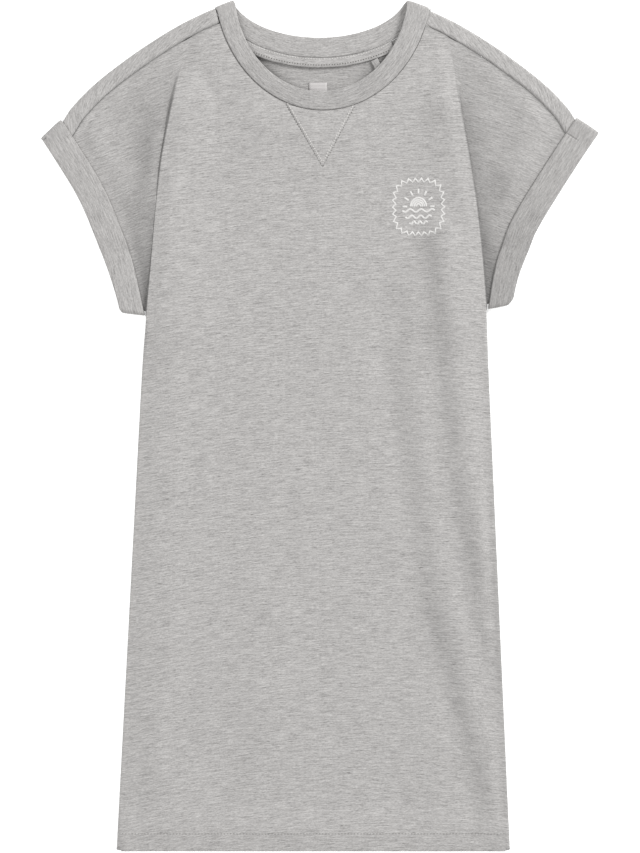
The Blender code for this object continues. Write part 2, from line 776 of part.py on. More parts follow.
def cuff(name, side, cloth):
    """A ring round the sleeve's end: up the back layer, over the top, down the front, and under."""
    turn = (CUFF_TURN + DOUBLE / 2) / CUFF_LENGTH
    ring = [("back", i / CUFF_STEPS, 0.0) for i in range(CUFF_STEPS)]
    ring += [("top", 1.0, i / TURN_STEPS) for i in range(TURN_STEPS)]
    ring += [("front", 1 - i / CUFF_STEPS, 0.0) for i in range(CUFF_STEPS)]
    ring += [("bottom", 0.0, i / TURN_STEPS) for i in range(TURN_STEPS)]

    def place(i, j):
        part, share, turned = ring[i % len(ring)]
        point = cuff_plan(side, blend(turn, 1 - turn, share), j / CUFF_ROWS)
        if part in ("back", "front"):
            return (*point, CUFF_BACK_LAYER + (2 * CUFF_TURN if part == "front" else 0.0))
        up = 1 if part == "top" else -1
        angle = math.pi * turned
        outward = heading(CUFF_TOP[side], share) * up * math.sin(angle)
        height = SLEEVE_IN_CUFF - up * CUFF_TURN * math.cos(angle)
        return (*(point + outward * CUFF_TURN), height)

    mesh = bmesh.new()
    grid(mesh, len(ring), CUFF_ROWS, place)
    return piece(name, mesh, DOUBLE, cloth)


def main():
    for old in list(bpy.data.objects):
        bpy.data.objects.remove(old, do_unlink=True)
    jersey = material("grey marl jersey", (0.50, 0.49, 0.48), 0.9)
    satin = material("white woven label", (0.80, 0.79, 0.78), 0.6)
    front = panel("front_panel", FRONT, jersey)
    panel("back_panel", BACK, jersey)
    neckband(jersey)
    neck_tape(jersey)
    v_insert(front, jersey)
    cuff("cuff_left", LEFT, jersey)
    cuff("cuff_right", RIGHT, jersey)
    hanger_loop(jersey)
    label(satin)


main()
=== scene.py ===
"""Looks of a girl's t-shirt dress in grey marl jersey, laid flat with the front up.

Each cloth piece is a grid of points on the middle of its cloth, shaped by the sizes of the cut and
by listed soft folds, and Solidify gives it its wall. Measures are in millimetres and become
metres when a mesh is made. X runs to the wearer's left, Y from the hem to the neck, Z up.
"""

import math

import bmesh
import bpy
import numpy as np
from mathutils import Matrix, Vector, noise
from mathutils.bvhtree import BVHTree


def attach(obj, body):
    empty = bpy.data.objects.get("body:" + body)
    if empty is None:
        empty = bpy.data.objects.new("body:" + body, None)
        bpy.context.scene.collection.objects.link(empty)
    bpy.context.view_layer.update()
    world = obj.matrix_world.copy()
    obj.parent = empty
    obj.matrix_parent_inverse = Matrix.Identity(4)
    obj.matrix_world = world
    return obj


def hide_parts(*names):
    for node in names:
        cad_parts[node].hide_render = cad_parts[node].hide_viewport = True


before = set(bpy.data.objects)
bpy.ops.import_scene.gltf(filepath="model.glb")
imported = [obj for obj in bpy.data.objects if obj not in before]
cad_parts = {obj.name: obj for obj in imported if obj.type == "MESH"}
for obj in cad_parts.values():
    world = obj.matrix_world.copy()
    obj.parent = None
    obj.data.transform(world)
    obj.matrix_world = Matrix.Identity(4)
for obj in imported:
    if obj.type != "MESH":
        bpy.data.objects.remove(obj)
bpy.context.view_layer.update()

MM = 0.001
MIDDLE = Vector((0.75, 0.28, 0.0))  # the middle of the laid dress is the frame's origin
LEFT, RIGHT = -1, 1
FRONT, BACK = 1, -1

# Cloth
WALL = 1.1  # one layer of jersey
DOUBLE = 2.1  # neckband and cuffs, folded double
GAP = 0.3
PITCH = WALL + GAP
FLOOR_LAYER = WALL / 2
FLAT_LOFT = PITCH / 2  # half the height between the middles of the two panels where they lie flat

# Body
HEM_Y = -389.3
HEM_DEPTH = 15.0
HEM_RISE = 26.0  # how far above the hem the front comes down from its turned-up layers
HEM_TAPER = 0.004  # the turned-up layer is narrower than the hem by this share
SIDE_ROLL = 4.5  # how far in from the side seam the front starts to turn down
ARM_Y = {LEFT: 101.5, RIGHT: 107.5}

# The side seam up to the underarm, and the fold beside the sleeve above it
EDGE_COLUMNS = ("y", LEFT, RIGHT)
SIDE_SEAM = (
    (-389.3, -186.1, 175.5),
    (-230.0, -177.6, 168.4),
    (-70.0, -169.1, 161.3),
    (50.0, -162.7, 156.0),
)
ARM_FOLD = (
    (99.5, -158.9, 154.2),
    (150.0, -154.4, 150.6),
    (200.0, -150.0, 145.2),
    (250.0, -143.8, 137.2),
    (300.0, -133.6, 128.2),
    (330.0, -127.0, 124.2),
)

# Under-arm pleat
PLEAT_DEPTH = 16.0
PLEAT_LEAST = 0.5
PLEAT_SHUT_Y = 262.0  # the fold is closed below this height
PLEAT_OPEN_Y = 345.0  # and has opened out flat at this one
PLEAT_TURN_LEFT = 0.001  # share of the half turn left there, so that its radius stays finite
PLEAT_TOP_FALL = 0.6  # how steeply the open pleat follows the shoulder line down
PLEAT_SLOPE = 56.0  # the body falls from its folded edge over this distance
UNDERARM_FADE = 60.0

# Shoulder edge, from the neckband to the sleeve's end, as distances out from SHOULDER_X
SHOULDER_X = 0.5
SHOULDER_EDGE = (
    (95.3, 383.7),
    (124.8, 369.8),
    (152.6, 353.3),
    (177.0, 336.7),
    (206.0, 314.0),
    (227.5, 291.5),
    (235.6, 278.6),
    (246.0, 263.5),
)
PLEAT_TOP_SHARE = 0.17  # where the pleat would meet the shoulder, as a share of that edge
SEAM_FORWARD = 14.0  # the shoulder seam lies this far forward of the edge
NECK_LOFT = 3.0
SHOULDER_LOFT = 1.5
NECK_LOFT_SHARE = 0.45  # the neck's loft has gone at this share of the shoulder's length
CUFF_FLAT_FROM, CUFF_FLAT_AT = 0.6, 0.85  # and the roll flattens into the cuff between these
LOFT_REACH = 80.0
CORNER_CLEAR = 3.0  # the shoulder seam runs straight into the neck from this far

# Neck: each arc is the lower part of an ellipse
NECK_ARCS = {
    # name: (middle x, lowest y, half width, rise from the lowest point to the ellipse's middle)
    "front_seam": (3.8, 289.8, 100.5, 121.0),
    "front_free": (2.0, 307.3, 79.5, 93.0),
    "back_seam": (0.6, 338.6, 102.0, 65.0),
    "back_free": (0.0, 357.2, 82.0, 44.0),
}
BAND_TURN = 2.9  # radius at which the neckband turns over each shoulder
BAND_SLANT = (0.413, 0.911)  # direction in which it leans out there, on the right
BAND_TIP_Y = 390.4
BAND_WIDTH = 17.5
TAPE_WIDTH = 9.0
TAPE_HALF = 66.0
TAPE_WALL = 1.0

# Cuffs
CUFF_WIDTH = 25.0
CUFF_END_WIDTH = 21.5  # at the underarm, where it runs in beside the body
CUFF_FULL_SHARE = 0.35  # share of its length at which it has its whole width
CUFF_END_SLANT = 0.0018  # share of its length that each millimetre of width takes off the lower end
CUFF_LENGTH = 205.0
CUFF_EDGE = {  # (x, y) from the underarm to the shoulder
    LEFT: (
        (-159.9, 101.5),
        (-170.9, 149.7),
        (-181.2, 179.8),
        (-200.0, 222.9),
        (-230.8, 272.7),
        (-237.6, 281.2),
    ),
    RIGHT: (
        (155.3, 107.5),
        (161.0, 142.2),
        (169.2, 169.5),
        (180.4, 195.7),
        (214.9, 251.2),
        (236.5, 283.2),
    ),
}
CUFF_BACK_LAYER = DOUBLE / 2
SLEEVE_IN_CUFF = DOUBLE + GAP + WALL + GAP / 2
CUFF_TURN = SLEEVE_IN_CUFF - CUFF_BACK_LAYER
CUFF_TURN_SHARE = (CUFF_TURN + DOUBLE / 2) / CUFF_LENGTH
CUFF_CLEAR = 3.3  # the sleeve keeps this far inside the cuff's two ends
# The pleat and the cuff carry the sleeve as far as this, and it settles over the next distance.
SLEEVE_CARRIED = {LEFT: 5.0, RIGHT: 16.0}
SLEEVE_SETTLE = {LEFT: 28.0, RIGHT: 45.0}
CUFF_CARRIED, CUFF_SETTLE = 14.0, 34.0
CUFF_CORNER = {LEFT: 4.0, RIGHT: 8.0}  # radius of its lower corner
CUFF_SEAM_SHARE = 0.925  # where the seam across it lies
CUFF_SEAM_DEPTH = 0.8
CUFF_SEAM_REACH = 0.35  # the seam's groove starts to end at this share of the width

# The V, the label and the hanger loop
V_LEFT_X, V_RIGHT_X = -30.5, 32.5
V_POINT = (3.5, 237.0)
V_WALL = 0.5
V_PROUD = 0.14
V_TIP_SHARE = 0.985  # its rows stop this far down towards the point
LABEL_X = (-9.5, 7.5)
LABEL_Y = (301.0, 315.8)
LABEL_WALL = 0.4
LOOP_WIDTH = 7.0
LOOP_WALL = 1.6
LOOP_LINE = ((50.8, 336.5), (55.0, 328.0), (60.5, 316.0), (67.0, 305.0))

# Soft folds of the front. Troughs are negative. Ends, height and half width.
FOLD_COLUMNS = ("x0", "y0", "x1", "y1", "height", "half_width")
FRONT_FOLDS = (
    (84.0, 120.0, 116.0, -170.0, 3.3, 17.0),
    (128.0, -200.0, 172.0, -375.0, 3.0, 14.0),
    (109.0, 168.0, 156.0, -180.0, 4.2, 15.0),
    (-128.0, 40.0, -150.0, -330.0, 1.6, 18.0),
    (-40.0, -180.0, -52.0, -380.0, 1.2, 22.0),
    (62.0, 60.0, 96.0, -210.0, -1.5, 13.0),
    (100.0, -190.0, 150.0, -385.0, -1.5, 11.0),
    (14.0, -300.0, 16.0, -388.0, -0.7, 9.0),
    (-18.0, -150.0, -24.0, -330.0, -0.5, 14.0),
)
SLEEVE_FOLDS = {
    LEFT: (
        (-151.0, 290.0, -163.0, 130.0, 3.2, 13.0),
        (-205.0, 270.0, -172.0, 250.0, 0.9, 14.0),
        (-200.0, 225.0, -176.0, 205.0, 0.7, 10.0),
    ),
    RIGHT: (
        (198.0, 295.0, 166.0, 185.0, 4.5, 17.0),
        (150.0, 305.0, 176.0, 252.0, -0.8, 8.0),
        (206.0, 262.0, 186.0, 236.0, 1.0, 12.0),
    ),
}

# Between its folds each front stands off the back a little, in broad waves of this size and height.
FRONT_SLACK, FRONT_WAVES = 1.3, (55.0, 1.2)
SLEEVE_SLACK, SLEEVE_WAVES = 0.6, (30.0, 1.9)
SEAM_BEAD, BEAD_FROM_SIDE, BEAD_WIDTH = 0.5, 9.0, 5.0
NECK_DITCH, NECK_DITCH_WIDTH = 0.4, 1.6
SHOULDER_DITCH, SHOULDER_DITCH_WIDTH = 0.5, 1.4

# The folds press through to the back, less deep there, and end below the neck
BACK_FOLDS_SHARE = 0.6
BACK_FOLDS_Y = 285.0

# Direction of the knitted courses: how steeply they rise to the right across the cut
COURSE_X = (-300, -150, 0, 120, 200, 300)
COURSE_SLOPE = (0.30, 0.18, 0.06, 0.0, -0.2, -0.34)
SLEEVE_DRAWN_DOWN = 0.15  # radians that each sleeve has turned about the top of its pleat

# Grid counts
BODY_COLUMNS = 80
SHOULDER_SHARE = 0.1  # of the columns, on each side, that end on the shoulder seam
BODY_ROWS = 96
ARM_ROWS = 64
TURN_STEPS = 8
LAYER_STEPS = 4
SLEEVE_STEPS = 26
HEM_STEPS = 4
LINE_POINTS = 400
STRIP_STEPS = 5
BAND_FRONT_STEPS, BAND_BACK_STEPS = 90, 70
ARM_CROWDING = 1.25  # how strongly rows crowd towards the underarm from below
SEAM_CROWDING = 1.3  # and towards the seams above
ROLL_ENDS = 0.9  # share of the rows below the underarm at which the side roll starts to narrow

# View
VIEW_HEIGHT = 784.8  # millimetres of the cloth's plane that the picture's long side takes in
VIEW_MIDDLE = (0.9, -0.5)
CAMERA_HEIGHT = 2200.0
FLOOR_REACH = 14.0  # in metres
SENSOR = 36.0
FLOOR_DROP = 0.2


# Lines and shares
def blend(start, end, share):
    return start + (end - start) * share


def ease(share):
    """Rises smoothly from 0 to 1."""
    share = min(max(share, 0.0), 1.0)
    return share * share * (3 - 2 * share)


def below(point, top, span):
    """0 above this height, rising to 1 over a span below it."""
    return ease((top - point[1]) / span)


def bell(distance):
    """1 at no distance, falling smoothly to nothing at about 2."""
    return math.exp(-(distance**2))


def square_to(step):
    """A step of the plan, turned a quarter turn clockwise."""
    return np.array((step[1], -step[0]))


def even(line):
    """The same line with evenly spaced points."""
    run = np.concatenate([[0], np.cumsum(np.linalg.norm(np.diff(line, axis=0), axis=1))])
    places = np.linspace(0, run[-1], LINE_POINTS)
    return np.column_stack([np.interp(places, run, line[:, axis]) for axis in range(line.shape[1])])


def smooth_line(points):
    """Evenly spaced points on the Catmull-Rom curve through the given ones."""
    given = np.array(points, float)
    ends = np.vstack([2 * given[0] - given[1], given, 2 * given[-1] - given[-2]])
    fine = []
    for before, start, end, after in zip(ends, ends[1:], ends[2:], ends[3:]):
        for t in np.linspace(0, 1, 40, endpoint=False):
            squared = (2 * before - 5 * start + 4 * end - after) * t**2
            cubed = (3 * start - before - 3 * end + after) * t**3
            fine.append(0.5 * (2 * start + (end - before) * t + squared + cubed))
    return even(np.array([*fine, given[-1]]))


def at_share(line, share):
    place = min(max(share, 0.0), 1.0) * (len(line) - 1)
    first = min(int(place), len(line) - 2)
    return blend(line[first], line[first + 1], place - first)


def heading(line, share):
    step = at_share(line, share + 0.01) - at_share(line, share - 0.01)
    return step / np.linalg.norm(step)


def nearest(line, point):
    """Distance from a point to a line, and the share of the line where it is nearest."""
    away = np.hypot(line[:, 0] - point[0], line[:, 1] - point[1])
    index = int(away.argmin())
    return float(away[index]), index / (len(line) - 1)


def line_length(line):
    return float(np.linalg.norm(np.diff(line, axis=0), axis=1).sum())


# Neck and shoulders
def neck_point(arc, x, outward=0.0):
    middle, lowest, half_width, rise = NECK_ARCS[arc]
    across = (x - middle) / half_width
    down = math.sqrt(max(1 - across * across, 0.0))
    normal = np.array((across / half_width, -down / rise))
    normal /= np.linalg.norm(normal)
    return np.array((x, lowest + rise * (1 - down))) + normal * outward


def neck_arc(arc, height, outward=0.0):
    """A neck arc from the left shoulder to the right one, up to this height."""
    middle, lowest, half_width, rise = NECK_ARCS[arc]
    top = math.acos(1 - (height - lowest) / rise)
    angles = np.linspace(-top, top, 60)
    return smooth_line([neck_point(arc, middle + half_width * math.sin(a), outward) for a in angles])


def shoulder_edge(side):
    return smooth_line([(SHOULDER_X + side * out, y) for out, y in SHOULDER_EDGE])


SHOULDER = {side: shoulder_edge(side) for side in (LEFT, RIGHT)}
CUFF_TOP = {side: smooth_line(points) for side, points in CUFF_EDGE.items()}
NECK_SEAM = neck_arc("front_seam", SHOULDER_EDGE[0][1] + 6.0, GAP)
FRONT_FREE = neck_arc("front_free", BAND_TIP_Y)
TAPE_X = np.linspace(-TAPE_HALF, TAPE_HALF, 133)
TAPE_EDGE = np.array([neck_point("back_seam", x, GAP + TAPE_WIDTH) for x in TAPE_X])


def shoulder_point(side, share, inward):
    edge = SHOULDER[side]
    return at_share(edge, share) + square_to(heading(edge, share)) * side * inward


def shoulder_loft(share):
    """Half the height of the shoulder's roll, highest at the neck and flat inside the cuff."""
    loft = blend(NECK_LOFT, SHOULDER_LOFT, ease(share / NECK_LOFT_SHARE))
    return blend(loft, FLAT_LOFT, ease((share - CUFF_FLAT_FROM) / (CUFF_FLAT_AT - CUFF_FLAT_FROM)))


def top_inset(face, share):
    """How far in from the shoulder edge a panel's own grid ends."""
    return SEAM_FORWARD + GAP if face == FRONT else shoulder_loft(share)


def beside_neck(side, point):
    """The point moved along X to the neckband's seam."""
    half = len(NECK_SEAM) // 2
    reach = NECK_SEAM[:half] if side == LEFT else NECK_SEAM[half:]
    order = np.argsort(reach[:, 1])
    seam_x = np.interp(point[1], reach[order, 1], reach[order, 0])
    return np.array((seam_x + side * 2 * GAP, point[1]))


# Under-arm pleat
def pleat_layer(side, y):
    """Length of the pleat's hidden layer at this height while the pleat is shut."""
    share = (y - ARM_Y[side]) / (PLEAT_SHUT_Y - ARM_Y[side])
    return blend(PLEAT_DEPTH, PLEAT_LEAST, ease(share))


def pleat_opening(y):
    """0 where the pleat is shut, 1 where it lies open."""
    return ease((y - PLEAT_SHUT_Y) / (PLEAT_OPEN_Y - PLEAT_SHUT_Y))


def pleat_angle(y):
    """How far the cloth turns at each of the pleat's two folds: half a turn, down to nothing."""
    return math.pi * (1 - (1 - PLEAT_TURN_LEFT) * pleat_opening(y))


def layer_left(side, y):
    """Length of the hidden layer, taken in as the pleat opens."""
    return pleat_layer(side, y) * ease(pleat_angle(y) / math.pi * 1.6 - 0.5) + PLEAT_LEAST


def pleat_profile(side, y, part, share):
    """Place in the pleat's section: distance out from where its first fold starts, and drop."""
    angle = pleat_angle(y)
    radius = math.pi * PITCH / 2 / angle
    layer = layer_left(side, y)
    first = np.array((radius * math.sin(angle), radius * (1 - math.cos(angle))))
    run = np.array((math.cos(angle), math.sin(angle)))
    if part == "outer fold":
        return np.array((radius * math.sin(angle * share), radius * (1 - math.cos(angle * share))))
    if part == "layer":
        return first + run * layer * share
    back = angle * (1 - share)
    turned = (radius * (math.sin(angle) - math.sin(back)), radius * (math.cos(back) - math.cos(angle)))
    return first + run * layer + np.array(turned)


def pleat_drop(side, y):
    return float(pleat_profile(side, y, "inner fold", 1.0)[1])


def pleat_length(side, y, part, share):
    """Length of cloth from the start of the first fold, for the cloth's grain."""
    turn = math.pi * PITCH / 2
    layer = layer_left(side, y)
    if part == "outer fold":
        return turn * share
    if part == "layer":
        return turn + layer * share
    return turn + layer + turn * share


# The body's outline
def edge_parts(side, face):
    """The body's edge from the hem to the shoulder, below and above the underarm."""
    column = EDGE_COLUMNS.index(side)
    table = [(row[column], row[0]) for row in SIDE_SEAM + ARM_FOLD]
    top = shoulder_point(side, PLEAT_TOP_SHARE, top_inset(face, PLEAT_TOP_SHARE))
    whole = smooth_line([*table, top])
    above = whole[:, 1] > ARM_Y[side]
    meeting = np.array([[np.interp(ARM_Y[side], whole[:, 1], whole[:, 0]), ARM_Y[side]]])
    return even(np.vstack([whole[~above], meeting])), even(np.vstack([meeting, whole[above]]))


EDGES = {(side, face): edge_parts(side, face) for side in (LEFT, RIGHT) for face in (FRONT, BACK)}
ARM_SHARE = BODY_ROWS / (BODY_ROWS + ARM_ROWS)


def edge_point(side, face, v):
    """The body's edge at row share v. Rows crowd together at the underarm and at the seams above."""
    lower, upper = EDGES[side, face]
    if v <= ARM_SHARE:
        return at_share(lower, 1 - (1 - v / ARM_SHARE) ** ARM_CROWDING)
    return at_share(upper, 1 - (1 - (v - ARM_SHARE) / (1 - ARM_SHARE)) ** SEAM_CROWDING)


def edge_inset(v):
    """How far in from the edge the body's own grid ends: at the start of the roll or the fold."""
    near_arm = ease((v / ARM_SHARE - ROLL_ENDS) / (1 - ROLL_ENDS))
    return blend(SIDE_ROLL, PITCH / 2, near_arm)


def body_side(side, face, v):
    return edge_point(side, face, v) - np.array((side * edge_inset(v), 0.0))


def neckline(face):
    arc = "front_seam" if face == FRONT else "back_seam"
    drop = SEAM_FORWARD + GAP if face == FRONT else NECK_LOFT
    return neck_arc(arc, SHOULDER_EDGE[0][1] - drop, GAP)


def top_lines(face):
    """The body's upper edge: shoulder, neck and shoulder, as three lines."""
    neck = neckline(face)
    pieces = {}
    for side, corner in ((LEFT, neck[0]), (RIGHT, neck[-1])):
        line = [body_side(side, face, 1.0)]
        for share in np.linspace(PLEAT_TOP_SHARE, 0, 16)[1:]:
            point = shoulder_point(side, share, top_inset(face, share))
            if (point[0] - corner[0]) * side > CORNER_CLEAR:
                line.append(point)
        pieces[side] = even(np.array([*line, corner]))
    return pieces[LEFT], neck, pieces[RIGHT][::-1]


TOPS = {face: top_lines(face) for face in (FRONT, BACK)}


def body_top(face, u):
    left, neck, right = TOPS[face]
    if u < SHOULDER_SHARE:
        return at_share(left, u / SHOULDER_SHARE)
    if u > 1 - SHOULDER_SHARE:
        return at_share(right, (u - 1 + SHOULDER_SHARE) / SHOULDER_SHARE)
    return at_share(neck, (u - SHOULDER_SHARE) / (1 - 2 * SHOULDER_SHARE))


def patch(left, right, bottom, top, u, v):
    """Coons patch: a point inside four edges, from u across and v up."""
    corners = blend(blend(bottom(0), bottom(1), u), blend(top(0), top(1), u), v)
    return blend(left(v), right(v), u) + blend(bottom(u), top(u), v) - corners


def body_plan(face, u, v):
    return patch(
        lambda share: body_side(LEFT, face, share),
        lambda share: body_side(RIGHT, face, share),
        lambda share: blend(body_side(LEFT, face, 0), body_side(RIGHT, face, 0), share),
        lambda share: body_top(face, share),
        u,
        v,
    )


# Heights
def fold_height(point, folds):
    """Sum of the soft folds at a point. Each one wanders a little and fades at its ends."""
    total = 0.0
    for row in folds:
        fold = dict(zip(FOLD_COLUMNS, row))
        start = np.array((fold["x0"], fold["y0"]))
        along = np.array((fold["x1"], fold["y1"])) - start
        length = float(np.linalg.norm(along))
        share = float(np.dot(point - start, along)) / length**2
        normal = square_to(along) / length
        wander = 0.25 * fold["half_width"] * math.sin(5.0 * share + fold["x0"])
        beside = float(np.dot(point - start, normal)) + wander
        past = max(-share, share - 1, 0.0) * length / (1.6 * fold["half_width"])
        total += fold["height"] * bell(beside / fold["half_width"]) * bell(past)
    return total


def unevenness(point, size, height):
    """Broad shallow waves, the same each run."""
    return height * noise.noise(Vector((point[0] / size, point[1] / size, 3.7)))


def top_loft(point):
    """Loft that the neckband and the shoulder rolls give the cloth near them."""
    from_neck = nearest(NECK_SEAM, point)[0]
    lofts = [(NECK_LOFT - FLAT_LOFT) * (1 - ease(from_neck / LOFT_REACH))]
    for side in (LEFT, RIGHT):
        away, share = nearest(SHOULDER[side], point)
        near = 1 - ease((away - SEAM_FORWARD) / LOFT_REACH)
        lofts.append((shoulder_loft(share) - FLAT_LOFT) * near)
    return max(lofts)


SIDE_EDGES = {side: np.vstack(EDGES[side, FRONT]) for side in (LEFT, RIGHT)}


def from_edge(side, point):
    """Distance in from one side edge, along X."""
    edge = SIDE_EDGES[side]
    return side * (np.interp(point[1], edge[:, 1], edge[:, 0]) - point[0])


def pleat_loft(point):
    """Loft that the pleats' layers give the body over them."""
    lofts = []
    for side in (LEFT, RIGHT):
        y = max(point[1], ARM_Y[side])
        inside = from_edge(side, point)
        covered = pleat_layer(side, y) + 2 * PITCH
        fade = 1 - below(point, ARM_Y[side], UNDERARM_FADE)
        lofts.append(pleat_drop(side, y) * (1 - ease((inside - covered) / PLEAT_SLOPE)) * fade)
    return max(lofts)


def body_loft(point):
    hem = PITCH * (1 - ease((point[1] - HEM_Y - HEM_DEPTH) / HEM_RISE))
    return FLAT_LOFT + max(top_loft(point), pleat_loft(point), hem)


def from_side(point):
    """Distance in from the nearer side edge."""
    return min(from_edge(side, point) for side in (LEFT, RIGHT))


def front_relief(point):
    """What the soft folds add to the front, none at its edges and seams."""
    inside = ease((from_side(point) - 4) / 12)
    below_neck = ease(nearest(NECK_SEAM, point)[0] / 30)
    above_hem = ease((point[1] - HEM_Y) / 30)
    relief = FRONT_SLACK + fold_height(point, FRONT_FOLDS) + unevenness(point, *FRONT_WAVES)
    return max(relief, 0.1) * inside * below_neck * above_hem


def body_height(face, point):
    if face == BACK:
        return FLOOR_LAYER + BACK_FOLDS_SHARE * front_relief(point) * below(point, BACK_FOLDS_Y, 40)
    bead = SEAM_BEAD * bell((from_side(point) - BEAD_FROM_SIDE) / BEAD_WIDTH)
    ditch = NECK_DITCH * bell(nearest(NECK_SEAM, point)[0] / NECK_DITCH_WIDTH)
    return FLOOR_LAYER + 2 * body_loft(point) + front_relief(point) + bead - ditch


def body_place(face, u, v):
    point = body_plan(face, u, v)
    return (*point, body_height(face, point)), point


def hem_place(face, u, step):
    """The turned-up hem: a half turn at the hem's edge, then a layer back up inside."""
    edge = body_plan(face, u, 0.0)
    height = body_height(face, edge)
    radius = PITCH / 2
    if step <= TURN_STEPS:
        angle = math.pi * step / TURN_STEPS
        out, turned = math.sin(angle), 1 - math.cos(angle)
        flat = edge - np.array((0.0, radius * angle))
        return (edge[0], edge[1] - radius * out, height - face * radius * turned), flat
    up = HEM_DEPTH * (step - TURN_STEPS) / HEM_STEPS
    narrowed = edge[0] * (1 - HEM_TAPER * up / HEM_DEPTH)
    return (narrowed, edge[1] + up, height - face * PITCH), edge - np.array((0, up))


def roll_place(face, side, v, share):
    """From the body's own grid out to the side seam: the front turns down to meet the back."""
    start = body_side(side, face, v)
    reach = edge_inset(v) - (WALL / 2 if face == FRONT else 0.0)
    flat = start + np.array((side * reach * share, 0))
    if face == BACK:
        return (start[0] + side * reach * share, start[1], FLOOR_LAYER), flat
    height = body_height(FRONT, start)
    low = WALL + 2 * GAP
    angle = share * math.pi / 2
    out = reach * math.sin(angle)
    return (start[0] + side * out, start[1], low + (height - low) * math.cos(angle)), flat


def pleat_place(face, side, v, part, share):
    """A point of the pleat's section, between the body and the sleeve."""
    start = body_side(side, face, v)
    loft = body_loft(start)
    middle = FLOOR_LAYER + loft
    sleeve_loft = FLAT_LOFT + top_loft(start)
    out, drop = pleat_profile(side, start[1], part, share)
    whole_drop = pleat_drop(side, start[1])
    fallen = drop / whole_drop if whole_drop > 1e-6 else 0.0
    height = middle + face * blend(loft, sleeve_loft, fallen)
    if face == FRONT:
        height += (body_height(FRONT, start) - middle - loft) * (1 - min(max(fallen, 0.0), 1.0))
    flat = start + np.array((side * pleat_length(side, start[1], part, share), 0))
    fall = PLEAT_TOP_FALL * out * pleat_opening(start[1])
    return (start[0] + side * out, start[1] - fall, height), flat


# Sleeves and cuffs
def cuff_outward(side, share):
    return square_to(heading(CUFF_TOP[side], share)) * side


def cuff_plan(side, share, across):
    """A point of the cuff's outline: `across` runs from 0 at its upper edge to 1 at its opening."""
    width = across * blend(CUFF_END_WIDTH, CUFF_WIDTH, ease(share / CUFF_FULL_SHARE))
    share = blend(width * CUFF_END_SLANT, 1.0, share)
    return at_share(CUFF_TOP[side], share) + cuff_outward(side, share) * width


def sleeve_level(side, point, fold_level, from_fold):
    """Height halfway between the sleeve's two layers: up at the pleat and in the cuff, else down."""
    loft = FLAT_LOFT + top_loft(point)
    floor = FLOOR_LAYER + loft
    from_cuff, share = nearest(CUFF_TOP[side], point)
    across = np.dot(point - at_share(CUFF_TOP[side], share), cuff_outward(side, share))
    if across > 0:
        from_cuff = 0.0
    at_fold = 1 - ease((from_fold - SLEEVE_CARRIED[side]) / SLEEVE_SETTLE[side])
    at_cuff = 1 - ease((from_cuff - CUFF_CARRIED) / CUFF_SETTLE)
    lifted = (fold_level - floor) * at_fold + (SLEEVE_IN_CUFF - floor) * at_cuff
    return floor + lifted / max(1.0, at_fold + at_cuff), loft, from_cuff


def sleeve_lines(face, side):
    """The sleeve's inner fold, its end, the low corner between them, and its top."""
    end_across = 1 - CUFF_CLEAR / CUFF_WIDTH
    low = cuff_plan(side, 2 * CUFF_CLEAR / CUFF_LENGTH, end_across)

    def inner(v):
        return np.array(pleat_place(face, side, blend(ARM_SHARE, 1, v), "inner fold", 1.0)[0][:2])

    shares = np.linspace(PLEAT_TOP_SHARE, 1.0, 60)
    top = [shoulder_point(side, share, top_inset(face, share)) for share in shares]
    start = inner(1.0)
    first = next(i for i, point in enumerate(top) if (point[0] - start[0]) * side > 2.0)
    top = even(np.array([start, *top[first:]]))
    outline = [cuff_plan(side, s, end_across) for s in np.linspace(0.15, 0.8, 12)]
    end = even(np.array([low, *outline, top[-1]]))
    return inner, end, low, top


SLEEVES = {(face, side): sleeve_lines(face, side) for face in (FRONT, BACK) for side in (LEFT, RIGHT)}


def sleeve_relief(side, point, from_fold, from_cuff):
    """Shallow hollows of the sleeve's front, none where the pleat or the cuff presses on it."""
    free = ease((from_fold - 1) / 10) * ease((from_cuff - 2) / 14)
    free *= ease((nearest(SHOULDER[side], point)[0] - SEAM_FORWARD - 1) / 16)
    relief = SLEEVE_SLACK + fold_height(point, SLEEVE_FOLDS[side]) + unevenness(point, *SLEEVE_WAVES)
    return free * max(relief, 0.0)


def sleeve_place(face, side, t, v):
    body_v = blend(ARM_SHARE, 1, v)
    if t == 0:
        return pleat_place(face, side, body_v, "inner fold", 1.0)
    inner, end, low, top = SLEEVES[face, side]
    point = patch(
        inner,
        lambda share: at_share(end, 1 - (1 - share) ** SEAM_CROWDING),
        lambda share: blend(inner(0.0), low, share),
        lambda share: at_share(top, share),
        t,
        v,
    )
    start = body_side(side, face, body_v)
    from_fold = float(np.linalg.norm(point - inner(v)))
    level, loft, from_cuff = sleeve_level(side, point, FLOOR_LAYER + body_loft(start), from_fold)
    height = level + face * loft
    if face == FRONT:
        height += sleeve_relief(side, point, from_fold, from_cuff)
    pivot = body_side(side, face, 1.0)
    return (*point, height), pivot + turned_back(point - pivot, -side * SLEEVE_DRAWN_DOWN)


def turned_back(step, angle):
    """A step of the plan, turned clockwise by this angle."""
    along, across = step
    cosine, sine = math.cos(angle), math.sin(angle)
    return np.array((along * cosine + across * sine, across * cosine - along * sine))


# Depth of painted shade in hollows, from 0 to 1: the cloth's colour is darkened there. A laid shell
# is shallower than cloth is, so its own slopes shade it too little.
SLEEVE_PAINTED_SHADE = {LEFT: 0.06, RIGHT: 0.12}
WEDGE_TOP_Y = {LEFT: 150.0, RIGHT: 190.0}
PAINTED_SHADES = {
    # name: (deepest, reach in millimetres)
    "sleeve's fold": (0.8, 5.5),
    "wedge above the underarm": (0.75, 14.0),
    "beside the sleeve's fold": (0.32, 34.0),
    "shoulder seam": (0.75, 0.9),
    "beside the neckband": (0.85, 7.0),
    "under the tape": (0.25, 2.5),
}
